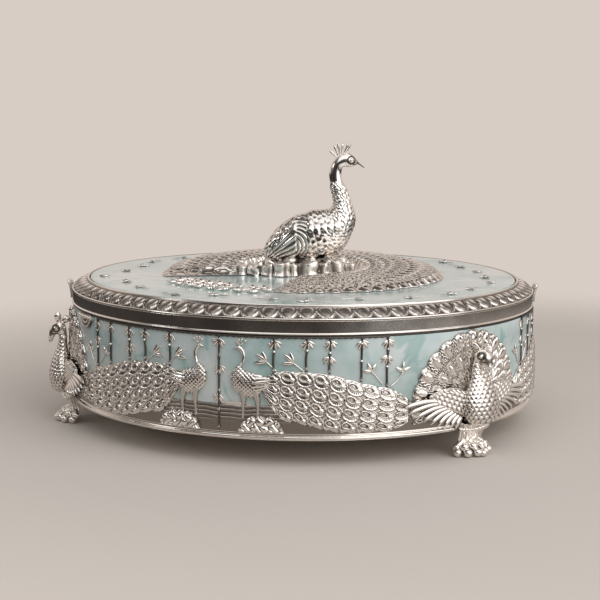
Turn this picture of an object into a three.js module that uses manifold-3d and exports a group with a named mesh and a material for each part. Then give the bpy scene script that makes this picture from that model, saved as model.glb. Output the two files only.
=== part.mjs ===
// A round box for dry fruit: a silver-plated body with enamel panels and cast
// peafowl, three peacock feet, a lid crowned by a standing peacock, and six
// glass dishes inside. Millimetres, +Z up. The origin is the centre of the
// base plate's underside, and the middle of one enamel panel faces -Y.

import * as THREE from 'three';
import { mergeVertices } from 'three/addons/utils/BufferGeometryUtils.js';
import Module from 'manifold-3d';

const wasm = await Module();
wasm.setup();

// Clearances and cutting
const gap = 0.3; // between pieces that touch
const lidPlay = 0.7; // between the lid's band and the neck inside it
const dishPlay = 1.5; // between neighbouring dishes
const overrun = 12; // how far a cutter runs past what it cuts
const weldDistance = 1e-4; // corners nearer than this are one corner

// Body
const rimRadius = 145;
const rimHeight = 2.5;
const wallSetback = 0.9; // the wall's face lies this far inside the rim
const wallThickness = 2.6;
const wallHeight = 58;
const enamelThickness = 0.6;
const groundHeight = 18.7; // the bare silver wall below the enamel
const lipHeight = 0.8; // ring above the enamel
const neckSetback = 5.5; // shoulder that the lid's band rests on
const neckHeight = 6;
const neckThickness = 2;
const shoulderThickness = 1.5;
const plateThickness = 1.2;
const plateSetback = 3.7; // of the base plate's edge inside the rim
const flangeWidth = 5.7;
const flangeThickness = 1.5;

// Feet
const footHeight = 15; // from the floor to the body's rim
const footReach = 15; // how far the toes reach past the wall
const fanRadius = 43.5; // of the spread tail behind each foot
const fanThickness = 4.2;
const fanCentreHeight = 14;

// Castings on the wall
const trainThickness = 2.6;
const trainLean = 4.8; // of the eyes' columns, from the train's top to its foot
const birdThickness = 3.5;
const stemWidth = 1.3;
const stemThickness = 0.9;
const catchWidth = 20;
const catchHeight = 8;
const catchThickness = 2;

// Lid
const bandHeight = 7.3;
const mouldingWidth = 11.5;
const mouldingRise = 6.6;
const mouldingThickness = 1.4;
const eggRelief = 1.4;
const beadWidth = 1.9;
const beadHeight = 1.35;
const lidThickness = 1.5;
const lidEnamelThickness = 1.1;
const lidFanRadius = 89;
const lidFanRise = 10;
const lidFanEdge = 1; // thickness of the fan where it lies flat
const tuftLength = 46;
const tuftHeight = 5;
const lugWidth = 14;
const lugHeight = 11;
const lugThickness = 1.6;
const lugCurl = 2.2;

// Finial
const peacockHeight = 72; // from the bird's seat line to the tip of its crest
const peacockSeat = 12; // from the lid's enamel up to that line
const rockLength = 62;

// Screws
const smallShank = 1.2;
const smallHead = 2.1;
const footShank = 1.5;
const footHead = 3;
const finialShank = 2;
const finialHead = 3.6;
const headHeight = 1.6;
const screwBite = 4.5; // how deep a foot's screw goes into its casting
const finialBite = 9; // how far the finial's screw runs past the bird's seat line
const washerRadius = 5.5;
const washerThickness = 1;

// Dishes
const dishHeight = 42;
const dishWall = 2.4;
const dishFloor = 3;
const centreDishRadius = 45;
const dishCorner = 8;

// Counts and angles
const footCount = 3;
const fanDishCount = 5;
const roundSides = 60;
const dishSides = 36;
const screwSides = 10;
const tuftSides = 12;
const rockSides = 6;
const rockBedSides = 16;
const degree = Math.PI / 180;
const panelTurn = 360 / footCount;
const lidTurn = 18.3; // the finial's side view faces this bearing
const fanSweep = 100; // half the sweep of a foot's tail
const catchBearing = -43.7;
const lugBearing = 90;
const lidFanFrom = -12; // the lid's fan runs on from here
const lidFanSweep = 294;

// Sizes that follow
const wallRadius = rimRadius - wallSetback;
const rimTop = rimHeight + wallSetback;
const innerRadius = wallRadius - wallThickness;
const neckRadius = wallRadius - neckSetback;
const neckInner = neckRadius - neckThickness;
const plateRadius = rimRadius - plateSetback - gap;
const flangeBottom = plateThickness + gap;
const flangeTop = flangeBottom + flangeThickness;
const flangeRadius = innerRadius - flangeWidth;
const fieldBottom = rimTop + gap;
const fieldTop = wallHeight - gap;
const fieldHeight = fieldTop - fieldBottom;
const fanSeat = wallRadius + gap;
const birdSeat = fanSeat + fanThickness + gap;
const fanLow = fanCentreHeight + fanRadius * Math.cos(fanSweep * degree);
const footScrewHeight = fanCentreHeight - footHead;
const floorHeight = -footHeight;
const bandBottom = wallHeight + gap;
const bandTop = bandBottom + bandHeight;
const bandInner = neckRadius + lidPlay;
const lidPlateRadius = rimRadius - mouldingWidth;
const lidTop = bandTop + mouldingRise;
const lidUnder = lidTop - lidThickness;
const enamelBottom = lidTop + gap;
const enamelTop = enamelBottom + lidEnamelThickness;
const reliefSeat = enamelTop + gap;
const dishBottom = plateThickness + gap;

// Materials
const silver = new THREE.MeshStandardMaterial({ color: 0xd9d6d0, roughness: 0.2, metalness: 1 });
const enamel = new THREE.MeshStandardMaterial({ color: 0xa6c4c6, roughness: 0.2, metalness: 0 });
const steel = new THREE.MeshStandardMaterial({ color: 0x9a9a98, roughness: 0.35, metalness: 1 });
const glass = new THREE.MeshStandardMaterial({
  color: 0xe6efef,
  roughness: 0.05,
  metalness: 0,
  transparent: true,
  opacity: 0.35,
});

// Moves every corner of a geometry by a rule.
function mapped(geometry, place) {
  const corners = geometry.getAttribute('position');
  const corner = new THREE.Vector3();
  for (let i = 0; i < corners.count; i += 1) {
    corner.fromBufferAttribute(corners, i);
    corners.setXYZ(i, ...place(corner));
  }
  return geometry;
}

// Bends a flat casting round the wall: x becomes an arc and -y a radius.
// A side of -1 makes the mirror image.
function wrapped(geometry, side = 1) {
  return mapped(geometry, ({ x, y, z }) => {
    const bearing = (side * x) / wallRadius;
    return [-y * Math.sin(bearing), y * Math.cos(bearing), z];
  });
}

// Makes a closed solid: one point per corner, no flat triangles, faces outward.
function solid(geometry) {
  const bare = new THREE.BufferGeometry();
  bare.setAttribute('position', geometry.getAttribute('position'));
  bare.setIndex(geometry.index);
  const welded = mergeVertices(bare, weldDistance);
  const points = welded.getAttribute('position').array;
  const index = welded.index.array;
  const triangles = [];
  let volume = 0;
  for (let i = 0; i < index.length; i += 3) {
    const [a, b, c] = [index[i], index[i + 1], index[i + 2]];
    if (a !== b && b !== c && c !== a) {
      triangles.push([a, b, c]);
      const [pa, pb, pc] = [a, b, c].map((n) => new THREE.Vector3().fromArray(points, n * 3));
      volume += pa.dot(pb.cross(pc));
    }
  }
  const outward = volume > 0 ? triangles : triangles.map(([a, b, c]) => [a, c, b]);
  return new wasm.Manifold(new wasm.Mesh({
    numProp: 3,
    vertProperties: Float32Array.from(points),
    triVerts: Uint32Array.from(outward.flat()),
  }));
}

function joined(first, ...others) {
  return others.reduce((whole, piece) => whole.add(piece), first);
}

function cutBy(whole, ...cutters) {
  return cutters.reduce((rest, cutter) => rest.subtract(cutter), whole);
}

// A named mesh of a solid.
function meshOf(name, body, material) {
  const { vertProperties, triVerts } = body.getMesh();
  const geometry = new THREE.BufferGeometry();
  geometry.setAttribute('position', new THREE.BufferAttribute(vertProperties, 3));
  geometry.setIndex(new THREE.BufferAttribute(triVerts, 1));
  geometry.computeVertexNormals();
  const mesh = new THREE.Mesh(geometry, material);
  mesh.name = name;
  return mesh;
}

// A turned piece: a profile of [radius, height] pairs spun about +Z.
function turned(profile, sides, closed = true) {
  const points = profile.map(([radius, height]) => new THREE.Vector2(radius, height));
  if (closed) points.push(points[0].clone());
  return new THREE.LatheGeometry(points, sides).rotateX(Math.PI / 2);
}

// An upright cylinder between two heights.
function post(radius, from, to, sides) {
  return new THREE.CylinderGeometry(radius, radius, to - from, sides)
    .rotateX(Math.PI / 2)
    .translate(0, 0, (from + to) / 2);
}

// A limb of changing radius along a smooth line. Its section is as wide across
// as the share says, measured along the side direction.
function limb(points, radii, { sides = 6, steps = 6, across = 1, side = [0, 1, 0] } = {}) {
  const path = new THREE.CatmullRomCurve3(points.map((point) => new THREE.Vector3(...point)));
  const radiusAt = (share) => {
    const place = share * (radii.length - 1);
    const before = Math.min(Math.floor(place), radii.length - 2);
    return THREE.MathUtils.lerp(radii[before], radii[before + 1], place - before);
  };
  return mapped(new THREE.CylinderGeometry(1, 1, 1, sides, steps), ({ x, y, z }) => {
    const share = y + 1 / 2;
    const tangent = path.getTangent(share);
    const up = tangent.clone().cross(new THREE.Vector3(...side)).normalize();
    const wide = up.clone().cross(tangent);
    const radius = radiusAt(share);
    const point = path.getPoint(share);
    point.addScaledVector(wide, x * radius * across).addScaledVector(up, z * radius);
    return [point.x, point.y, point.z];
  });
}

// A limb from a table of [first, second, radius] shares. The rule places a
// point from its two shares, and the unit turns the radius into a length.
function limbFrom(shares, placeOf, unit, options) {
  const points = shares.map(([first, second]) => placeOf(first, second));
  return limb(points, shares.map(([, , radius]) => radius * unit), options);
}

// A value read from an even table of shares.
function readTable(table, share) {
  const place = share * (table.length - 1);
  const before = Math.min(Math.floor(place), table.length - 2);
  return THREE.MathUtils.lerp(table[before], table[before + 1], place - before);
}

// A screw with its head below zero and its shank upward.
function screwGeometry(head, shank, length) {
  const profile = [
    [0, -headHeight],
    [head, -headHeight],
    [head, 0],
    [shank, 0],
    [shank, length],
    [0, length],
  ];
  return turned(profile, screwSides, false);
}

// What the wall and rim fill, with the gap, so that castings seat on them.
const bodyCutter = solid(turned([
  [0, -gap],
  [rimRadius + gap, -gap],
  [rimRadius + gap, rimTop],
  [wallRadius + gap, rimTop + gap],
  [wallRadius + gap, wallHeight + overrun],
  [0, wallHeight + overrun],
], roundSides, false));

// Body shell

// Places an upright piece at a bearing and radius.
function atBearing(geometry, bearing, radius) {
  return geometry.translate(0, -radius, 0).rotateZ(bearing * degree);
}

// A bore that points away from the axis, at a foot's screw.
function footBore(radius, from, to, bearing) {
  return post(radius, from, to, screwSides)
    .rotateX(Math.PI / 2)
    .translate(0, 0, footScrewHeight)
    .rotateZ(bearing * degree);
}

const footBearings = Array.from({ length: footCount }, (_, k) => (k + 1 / 2) * panelTurn);
const panelBearings = Array.from({ length: footCount }, (_, k) => k * panelTurn);
const plateScrewRadius = (flangeRadius + innerRadius) / 2;
const footScrewTip = birdSeat + screwBite;

function makeWall() {
  const profile = [
    [plateRadius + gap, 0],
    [rimRadius, 0],
    [rimRadius, rimHeight],
    [wallRadius, rimTop],
    [wallRadius, groundHeight],
    [wallRadius - enamelThickness - gap, groundHeight],
    [wallRadius - enamelThickness - gap, wallHeight - lipHeight],
    [wallRadius, wallHeight - lipHeight],
    [wallRadius, wallHeight],
    [neckRadius, wallHeight],
    [neckRadius, wallHeight + neckHeight],
    [neckInner, wallHeight + neckHeight],
    [neckInner, wallHeight - shoulderThickness],
    [innerRadius, wallHeight - shoulderThickness],
    [innerRadius, flangeTop],
    [flangeRadius, flangeTop],
    [flangeRadius, flangeBottom],
    [plateRadius + gap, flangeBottom],
  ];
  const holes = panelBearings.map((bearing) => solid(atBearing(
    post(smallShank + gap, -overrun, flangeTop + overrun, screwSides), bearing, plateScrewRadius,
  )));
  const bores = footBearings.map((bearing) => solid(
    footBore(footShank + gap, innerRadius - overrun, rimRadius + overrun, bearing),
  ));
  return meshOf('wall_shell', cutBy(solid(turned(profile, roundSides)), ...holes, ...bores), silver);
}

// A sunk screw's profile, flush with the plate's underside at zero. The head
// widens at 45 degrees, so the hole round it takes the gap square to that slope.
function sunkProfile(clear, from, to) {
  const head = smallHead + clear * Math.SQRT2;
  const shank = smallShank + clear;
  return [
    [0, from],
    [head, from],
    [head, 0],
    [shank, head - shank],
    [shank, to],
    [0, to],
  ];
}

function makeBasePlate() {
  const disc = solid(post(plateRadius, 0, plateThickness, roundSides));
  const holes = panelBearings.map((bearing) => solid(atBearing(
    turned(sunkProfile(gap, -overrun, overrun), screwSides, false), bearing, plateScrewRadius,
  )));
  return meshOf('base_plate', cutBy(disc, ...holes), silver);
}

function makeBaseScrew(name) {
  const screw = turned(sunkProfile(0, 0, flangeTop), screwSides, false);
  return meshOf(name, solid(screw.translate(0, -plateScrewRadius, 0)), steel);
}

function makeFootScrew(name) {
  const start = innerRadius - gap - (innerRadius * (1 - Math.cos(Math.PI / roundSides)));
  const screw = screwGeometry(footHead, footShank, footScrewTip - gap - start)
    .rotateX(Math.PI / 2)
    .translate(0, -start, footScrewHeight);
  return meshOf(name, solid(screw), steel);
}

// An enamel panel lies in the recess between two feet.
function makeEnamelPanel(name) {
  const columns = roundSides / footCount;
  const halfSweep = (panelTurn / 2) * degree - gap / wallRadius;
  const low = groundHeight + gap;
  const high = wallHeight - lipHeight - gap;
  const plate = mapped(new THREE.BoxGeometry(1, 1, 1, columns, 1, 1), ({ x, y, z }) => {
    const bearing = x * 2 * halfSweep;
    const radius = wallRadius - enamelThickness * (1 / 2 - z);
    const height = THREE.MathUtils.lerp(low, high, y + 1 / 2);
    return [radius * Math.sin(bearing), -radius * Math.cos(bearing), height];
  });
  return meshOf(name, solid(plate), enamel);
}

// Peafowl on the wall: x and z are shares of the field between rim and lid.

const hen = {
  bodyShares: [
    [0.15, 0.515, 0.028],
    [0.213, 0.515, 0.096],
    [0.324, 0.496, 0.126],
    [0.444, 0.478, 0.102],
    [0.537, 0.469, 0.056],
  ],
  neckShares: [
    [0.21, 0.56, 0.062],
    [0.172, 0.644, 0.034],
    [0.226, 0.737, 0.026],
    [0.218, 0.82, 0.024],
    [0.2, 0.876, 0.033],
    [0.159, 0.881, 0.021],
    [0.119, 0.857, 0.007],
  ],
  crestShares: [[0.205, 0.89, 0.014], [0.235, 0.93, 0.026], [0.262, 0.966, 0.006]],
  legShares: [
    [[0.269, 0.413, 0.018], [0.259, 0.246, 0.014], [0.269, 0.08, 0.018]],
    [[0.343, 0.404, 0.018], [0.352, 0.246, 0.014], [0.339, 0.08, 0.018]],
  ],
  // Rocks under the feet: place along the wall, height and half width
  rockShares: [
    [0.265, 0.11, 0.075],
    [0.375, 0.165, 0.07],
    [0.49, 0.11, 0.08],
  ],
  trainStartShare: 0.46,
  trainTopShares: [0.56, 0.63, 0.635, 0.628, 0.61, 0.57, 0.52, 0.48, 0.43, 0.35],
  trainLowShares: [0.39, 0.18, 0.12, 0.08, 0.04, 0.022, 0.022, 0.022, 0.026, 0.1],
  scallopShare: 0.018,
  // Relief of the thinner parts, of the bird's thickness
  neckReliefShare: 0.7,
  thinReliefShare: 0.33,
};
// The train's feather eyes stand in columns and rows
const trainEyes = { columns: 9, rows: 4, crownShares: [0.35, 0.2], riseShare: 0.45 };
const trainStart = hen.trainStartShare * fieldHeight;
const trainEnd = (panelTurn / 2) * degree * wallRadius - fanRadius - 2 * gap;

// Height of the train's upper edge at a place along the wall.
function trainTopAt(along) {
  const share = THREE.MathUtils.clamp((along - trainStart) / (trainEnd - trainStart), 0, 1);
  return fieldBottom + readTable(hen.trainTopShares, share) * fieldHeight;
}

// Only the front carries rows; the back is one strip from the lower edge to the upper.
function trainGeometry(side) {
  const columns = 2 * trainEyes.columns;
  const rows = 2 * trainEyes.rows;
  const [edgeShare, bulgeShare] = trainEyes.crownShares;
  const plate = new THREE.BoxGeometry(1, 1, 1, columns, rows, 1);
  return wrapped(mapped(plate, ({ x, y, z }) => {
    const along = x + 1 / 2;
    const up = z > 0 ? y + 1 / 2 : Math.round(y + 1 / 2);
    const tip = Math.round(along * columns) % 2;
    const eye = tip * (Math.round(up * rows) % 2);
    const low = fieldBottom + (readTable(hen.trainLowShares, along) * fieldHeight);
    const high = trainTopAt(THREE.MathUtils.lerp(trainStart, trainEnd, along));
    const edge = tip * hen.scallopShare * fieldHeight;
    const crown = edgeShare + bulgeShare * Math.sin(Math.PI * up) + trainEyes.riseShare * eye;
    const radius = fanSeat + (z > 0 ? crown * trainThickness : gap);
    const height = THREE.MathUtils.lerp(low - edge, high + edge, up);
    const lean = trainLean * (1 - up) * Math.sin(Math.PI * along);
    return [THREE.MathUtils.lerp(trainStart, trainEnd, along) - lean, -radius, height];
  }), side);
}

function makeWallPeacock(name, side) {
  const at = (x, z) => [x * fieldHeight, -wallRadius - gap, fieldBottom + z * fieldHeight];
  const flat = (shares, options) => {
    const widest = Math.max(...shares.map(([, , radius]) => radius)) * fieldHeight;
    const across = options.proud / widest;
    return solid(wrapped(limbFrom(shares, at, fieldHeight, { ...options, across }), side));
  };
  const rocks = hen.rockShares.map(([x, top, half]) => flat(
    [[x, 0, half], [x, top, half / 2]],
    { proud: birdThickness, sides: 4, steps: 1 },
  ));
  const legs = hen.legShares.map((shares) => flat(
    shares,
    { proud: birdThickness * hen.thinReliefShare, sides: 3, steps: 1 },
  ));
  const bird = joined(
    flat(hen.bodyShares, { proud: birdThickness, sides: 6, steps: 4 }),
    flat(hen.neckShares, { proud: birdThickness * hen.neckReliefShare, sides: 4, steps: 6 }),
    flat(hen.crestShares, { proud: birdThickness * hen.thinReliefShare, sides: 3, steps: 2 }),
    ...legs,
    ...rocks,
  );
  const train = solid(trainGeometry(side));
  return meshOf(name, joined(cutBy(bird, bodyCutter), train), silver);
}

// Bamboo: a rail under the lid with stems that hang down to the trains.

const stemBearings = [0, 12.2, 19.3, 24.3, 31.3, 37.2];
const railShare = 0.97; // bottom of the rail, as a share of the field
const leaf = {
  middleShare: 0.9,
  lowMiddleShare: 0.5, // of the second leaves, on the middle stem
  highShare: 0.045,
  wideShare: 0.04,
  outlineShares: [[0, 1], [1, -0.6], [0, -1], [-1, -0.6]],
  deepShare: 1.5, // of the stem's thickness
};
const railColumns = 12;

function stripGeometry(from, to, low, high, lift, columns) {
  return wrapped(mapped(new THREE.BoxGeometry(1, 1, 1, columns, 1, 1), ({ x, y, z }) => [
    THREE.MathUtils.lerp(from, to, x + 1 / 2),
    -fanSeat - lift - (z > 0 ? stemThickness : 0),
    THREE.MathUtils.lerp(low, high, y + 1 / 2),
  ]));
}

// A spray of leaves that spreads downward from a joint of the stem.
function leafGeometry(along, height) {
  const wide = leaf.wideShare * fieldHeight;
  const high = leaf.highShare * fieldHeight;
  const outline = leaf.outlineShares.map(([x, z]) => new THREE.Vector2(x * wide, z * high));
  const depth = stemThickness * leaf.deepShare;
  return wrapped(new THREE.ExtrudeGeometry(new THREE.Shape(outline), { depth, bevelEnabled: false })
    .rotateX(Math.PI / 2)
    .translate(along, -fanSeat - gap, height));
}

function makeBamboo(name) {
  const widest = stemBearings[stemBearings.length - 1] * degree * wallRadius + stemWidth;
  const railBottom = fieldBottom + railShare * fieldHeight;
  const leafHeight = fieldBottom + leaf.middleShare * fieldHeight;
  const pieces = [solid(stripGeometry(-widest, widest, railBottom, fieldTop, 0, railColumns))];
  [-1, 1].forEach((side) => {
    stemBearings.forEach((bearing) => {
      const along = side * bearing * degree * wallRadius;
      const foot = bearing > 0 ? trainTopAt(Math.abs(along)) : fieldBottom;
      const clear = foot + gap + hen.scallopShare * fieldHeight;
      if (bearing > 0 || side > 0) {
        const half = stemWidth / 2;
        pieces.push(solid(stripGeometry(along - half, along + half, clear, fieldTop - gap, gap / 2, 1)));
        pieces.push(solid(leafGeometry(along, leafHeight)));
      }
    });
  });
  pieces.push(solid(leafGeometry(0, fieldBottom + leaf.lowMiddleShare * fieldHeight)));
  return meshOf(name, joined(...pieces), silver);
}

// A shield-shaped plate under the lid's band, beside one foot
function makeCatchPlate() {
  const half = catchWidth / 2;
  const barShare = 0.3;
  const bodyShare = 0.72;
  const outline = new THREE.Shape();
  outline.moveTo(-half, 0);
  outline.lineTo(-half, -catchHeight * barShare);
  outline.lineTo(-half * bodyShare, -catchHeight * barShare);
  outline.quadraticCurveTo(-half * bodyShare, -catchHeight, 0, -catchHeight);
  outline.quadraticCurveTo(half * bodyShare, -catchHeight, half * bodyShare, -catchHeight * barShare);
  outline.lineTo(half, -catchHeight * barShare);
  outline.lineTo(half, 0);
  const depth = catchThickness + 2 * gap;
  const plate = new THREE.ExtrudeGeometry(outline, { depth, bevelEnabled: false, curveSegments: 4 })
    .rotateX(Math.PI / 2)
    .translate(0, -wallRadius + gap, fieldTop);
  const mesh = meshOf('catch_plate', cutBy(solid(wrapped(plate)), bodyCutter), silver);
  mesh.rotation.z = catchBearing * degree;
  return mesh;
}

// Feet: a spread tail on the wall, and a peacock in front of it

const fanScallops = 16;
const fanRingShares = [1, 1, 0.75, 0.5]; // thickness from the middle to the edge
const fanNotchShare = 0.05;

function makeFanTail(name) {
  const rings = fanRingShares.length - 1;
  const rays = 2 * fanScallops;
  const plate = wrapped(mapped(new THREE.BoxGeometry(1, 1, 1, rays, rings, 1), ({ x, y, z }) => {
    const ray = Math.round((x + 1 / 2) * rays);
    const out = y + 1 / 2;
    const angle = x * 2 * fanSweep * degree;
    const notch = ray % 2 === 0 ? fanNotchShare * out : 0;
    const reach = fanRadius * out * (1 - notch);
    const thickness = fanThickness * readTable(fanRingShares, out);
    const radius = fanSeat + (z > 0 ? thickness : 0);
    return [reach * Math.sin(angle), -radius, fanCentreHeight + reach * Math.cos(angle)];
  }));
  const bore = solid(footBore(footShank + gap, innerRadius, birdSeat + overrun, 0));
  return meshOf(name, cutBy(solid(plate), bore), silver);
}

// The foot's bird: reach is a share of the toes' reach past the wall, and
// height a share of the field above the rim, or of the foot below it.
const footBird = {
  bodyShares: [
    [0.45, -0.04, 0.24],
    [0.53, 0.04, 0.46],
    [0.54, 0.15, 0.49],
    [0.5, 0.26, 0.38],
    [0.46, 0.36, 0.25],
  ],
  neckShares: [
    [0.46, 0.34, 0.29],
    [0.38, 0.46, 0.25],
    [0.4, 0.58, 0.21],
    [0.6, 0.675, 0.24],
    [0.86, 0.67, 0.18],
  ],
  beakShares: [[0.84, 0.67, 0.15], [1, 0.63, 0.09], [0.98, 0.55, 0.02]],
  crestShares: [[0.62, 0.7, 0.07], [0.68, 0.81, 0.17], [0.7, 0.9, 0.02]],
  sideCrestShares: [[0.56, 0.7, 0.06], [0.49, 0.78, 0.13], [0.45, 0.84, 0.02]],
  crestRootShare: 0.69,
  crestLean: 0.5, // sideways per height, of the two side leaves
  bodyWideShare: 1.5,
};
const footBirdLeg = {
  legShares: [[0.36, 0.25, 0.3], [0.16, -0.2, 0.27], [0.08, -0.55, 0.24], [0.08, -0.85, 0.27]],
  legWideShare: 2.3,
  toeShares: [[0.2, -0.75, 0.2], [0.5, -0.66, 0.19], [0.78, -0.7, 0.24], [0.96, -0.86, 0.15]],
  heelShares: [[0.1, -0.78, 0.22], [-0.1, -0.86, 0.16]],
  toeRootShares: [-0.3, -0.1, 0.1, 0.3],
  toeTipShares: [-0.66, -0.22, 0.22, 0.66],
  padFromShare: -0.1,
  padToShare: 0.92,
  padWideShare: 0.6,
  padHighShare: 0.12,
};
const footWing = {
  lengthShare: 1.125, // of the fan's radius, from the bird's middle to the wing's tip
  startShare: 0.1,
  highShares: [0.3, 0.345, 0.375, 0.365, 0.345, 0.315, 0.27],
  lowShares: [-0.02, -0.03, 0, 0.06, 0.125, 0.2, 0.25],
  primaries: 6,
  scallopShare: 0.03,
};
const wingRootThickness = 3.2;
const wingTipThickness = 1.6;

function wingGeometry(side) {
  const columns = 2 * footWing.primaries;
  const length = footWing.lengthShare * fanRadius;
  return wrapped(mapped(new THREE.BoxGeometry(1, 1, 1, columns, 1, 1), ({ x, y, z }) => {
    const out = x + 1 / 2;
    const along = length * THREE.MathUtils.lerp(footWing.startShare, 1, out);
    const drop = (Math.round(out * columns) % 2) * footWing.scallopShare;
    const low = readTable(footWing.lowShares, out) - drop;
    const high = readTable(footWing.highShares, out);
    const thickness = THREE.MathUtils.lerp(wingRootThickness, wingTipThickness, out);
    const radius = birdSeat + (z > 0 ? thickness : gap);
    const height = fieldBottom + THREE.MathUtils.lerp(low, high, y + 1 / 2) * fieldHeight;
    return [along, -radius, height];
  }), side);
}

function makeFootPeacock(name) {
  const sideways = [1, 0, 0];
  const above = (lean) => (reach, height) => [
    lean * Math.max(0, height - footBird.crestRootShare) * fieldHeight,
    -wallRadius - reach * footReach,
    fieldBottom + height * fieldHeight,
  ];
  const below = (root, tip) => (reach, height) => [
    THREE.MathUtils.lerp(root, tip, THREE.MathUtils.clamp(reach, 0, 1)) * footReach,
    -wallRadius - reach * footReach,
    height * footHeight,
  ];
  const grown = (shares, place, options) => solid(wrapped(
    limbFrom(shares, place, footReach, { side: sideways, ...options }),
  ));
  const { bodyShares, neckShares, beakShares, crestShares, sideCrestShares } = footBird;
  const { legShares, toeShares, heelShares, toeRootShares, toeTipShares } = footBirdLeg;
  const { padFromShare, padToShare, padWideShare, padHighShare } = footBirdLeg;
  const toes = toeTipShares.map((tip, i) => grown(
    toeShares, below(toeRootShares[i], tip), { sides: 4, steps: 2 },
  ));
  const padMiddle = (padFromShare + padToShare) / 2;
  const pad = solid(wrapped(post(footReach, 0, footHeight * padHighShare, screwSides)
    .scale(padWideShare, padMiddle - padFromShare, 1)
    .translate(0, -wallRadius - padMiddle * footReach, floorHeight)));
  const bird = joined(
    grown(bodyShares, above(0), { sides: 8, steps: 5, across: footBird.bodyWideShare }),
    grown(neckShares, above(0), { sides: 6, steps: 6 }),
    grown(beakShares, above(0), { sides: 4, steps: 2 }),
    grown(crestShares, above(0), { sides: 4, steps: 2 }),
    grown(sideCrestShares, above(footBird.crestLean), { sides: 4, steps: 2 }),
    grown(sideCrestShares, above(-footBird.crestLean), { sides: 4, steps: 2 }),
    grown(legShares, below(0, 0), { sides: 6, steps: 3, across: footBirdLeg.legWideShare }),
    grown(heelShares, below(0, 0), { sides: 4, steps: 1 }),
    pad,
    ...toes,
  );
  const behind = solid(post(birdSeat, fanLow - gap, wallHeight + overrun, roundSides));
  const bore = solid(footBore(footShank + gap, innerRadius, footScrewTip, 0));
  const reach = rimRadius + footReach + overrun;
  const underFloor = solid(post(reach, floorHeight - overrun, floorHeight, screwSides));
  const rough = cutBy(bird, bodyCutter, behind, underFloor);
  const wings = [1, -1].map((side) => solid(wingGeometry(side)));
  return meshOf(name, cutBy(joined(rough, ...wings), bore), silver);
}

// Lid: its pieces share a group that is turned to face the finial's bearing.

const lidBore = finialShank + gap;

function slopeAt(radius) {
  return lidTop - (radius - lidPlateRadius) * (mouldingRise / mouldingWidth);
}

function makeLidShell() {
  const profile = [
    [lidBore, lidUnder],
    [lidPlateRadius - lidThickness / 2, lidUnder],
    [bandInner, slopeAt(bandInner) - lidThickness],
    [bandInner, bandBottom],
    [rimRadius, bandBottom],
    [rimRadius, bandTop],
    [lidPlateRadius, lidTop],
    [lidBore, lidTop],
  ];
  return meshOf('lid_shell', solid(turned(profile, roundSides)), silver);
}

// The sloping moulding between the band and the enamel: a row of eggs with a
// bead inside. Each row: place along the slope, thickness there, and the
// egg's share of its relief.
const mouldingShares = [[0, 0.75, 0], [0.45, 0.7, 1], [0.76, 0.7, 0.5]];
const eggCount = 84;

function makeLidMoulding() {
  const lift = gap * Math.hypot(mouldingRise, mouldingWidth) / mouldingWidth;
  const slope = (share) => [
    rimRadius - share * mouldingWidth,
    slopeAt(rimRadius - share * mouldingWidth) + lift,
  ];
  const raised = (share, thickness) => {
    const [radius, height] = slope(share);
    return [radius, height + thickness];
  };
  const profile = [
    slope(0),
    ...mouldingShares.map(([share, thickness]) => raised(share, thickness * mouldingThickness)),
    [lidPlateRadius + beadWidth, lidTop + beadHeight],
    [lidPlateRadius, lidTop + beadHeight + gap],
    slope(1),
  ];
  const ring = mapped(turned(profile, 2 * eggCount), ({ x, y, z }) => {
    const place = (rimRadius - Math.hypot(x, y)) / mouldingWidth;
    const row = mouldingShares.find(([share]) => Math.abs(share - place) < weldDistance);
    const egg = Math.abs(Math.round(Math.atan2(x, -y) * eggCount / Math.PI)) % 2;
    const top = row && z > slopeAt(Math.hypot(x, y)) + lift + gap;
    return [x, y, top ? z + egg * row[2] * eggRelief : z];
  });
  return meshOf('lid_moulding', solid(ring), silver);
}

function makeLidEnamel() {
  const radius = lidPlateRadius - gap;
  const profile = [
    [lidBore, enamelBottom],
    [radius, enamelBottom],
    [radius, enamelTop],
    [lidBore, enamelTop],
  ];
  return meshOf('lid_enamel', solid(turned(profile, roundSides)), enamel);
}

// The fan of train feathers round the finial, open at the front left. It lies
// nearly flat in front and rises to a dome at the back.
const lidFanHeightShares = [0.85, 0.98, 1, 0.8, 0.3];
const lidFanFrontShare = 0.15;
const lidFanEndShare = 0.4;
const lidFanEndTurn = 35; // the fan flattens over this angle before each end
const lidFanScallops = 24;
const lidFanHole = { leftShare: 0.617, rightShare: 0.603, deepShare: 0.33 }; // of the rocks' length

function makeLidFan() {
  const rays = 2 * lidFanScallops;
  const rings = lidFanHeightShares.length - 1;
  const plate = mapped(new THREE.BoxGeometry(1, 1, 1, rays, rings, 1), ({ x, y, z }) => {
    const ray = Math.round((x + 1 / 2) * rays);
    const bearing = (lidFanFrom + (x + 1 / 2) * lidFanSweep) * degree;
    const toEnd = Math.min(1, (1 / 2 - Math.abs(x)) * lidFanSweep / lidFanEndTurn);
    const dome = THREE.MathUtils.lerp(lidFanFrontShare, 1, (1 - Math.cos(bearing)) / 2)
      * THREE.MathUtils.lerp(lidFanEndShare, 1, toEnd);
    const east = Math.sin(bearing);
    const north = -Math.cos(bearing);
    const wideShare = east > 0 ? lidFanHole.rightShare : lidFanHole.leftShare;
    const inner = rockLength / Math.hypot(east / wideShare, north / lidFanHole.deepShare);
    const outer = lidFanRadius * (ray % 2 === 0 ? 1 - fanNotchShare / 2 : 1);
    const reach = THREE.MathUtils.lerp(inner, outer, y + 1 / 2);
    const rise = (lidFanRise - lidFanEdge) * dome * readTable(lidFanHeightShares, y + 1 / 2);
    const top = reliefSeat + lidFanEdge + rise;
    return [reach * east, reach * north, z > 0 ? top : reliefSeat];
  });
  return meshOf('lid_fan', solid(plate), silver);
}

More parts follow.
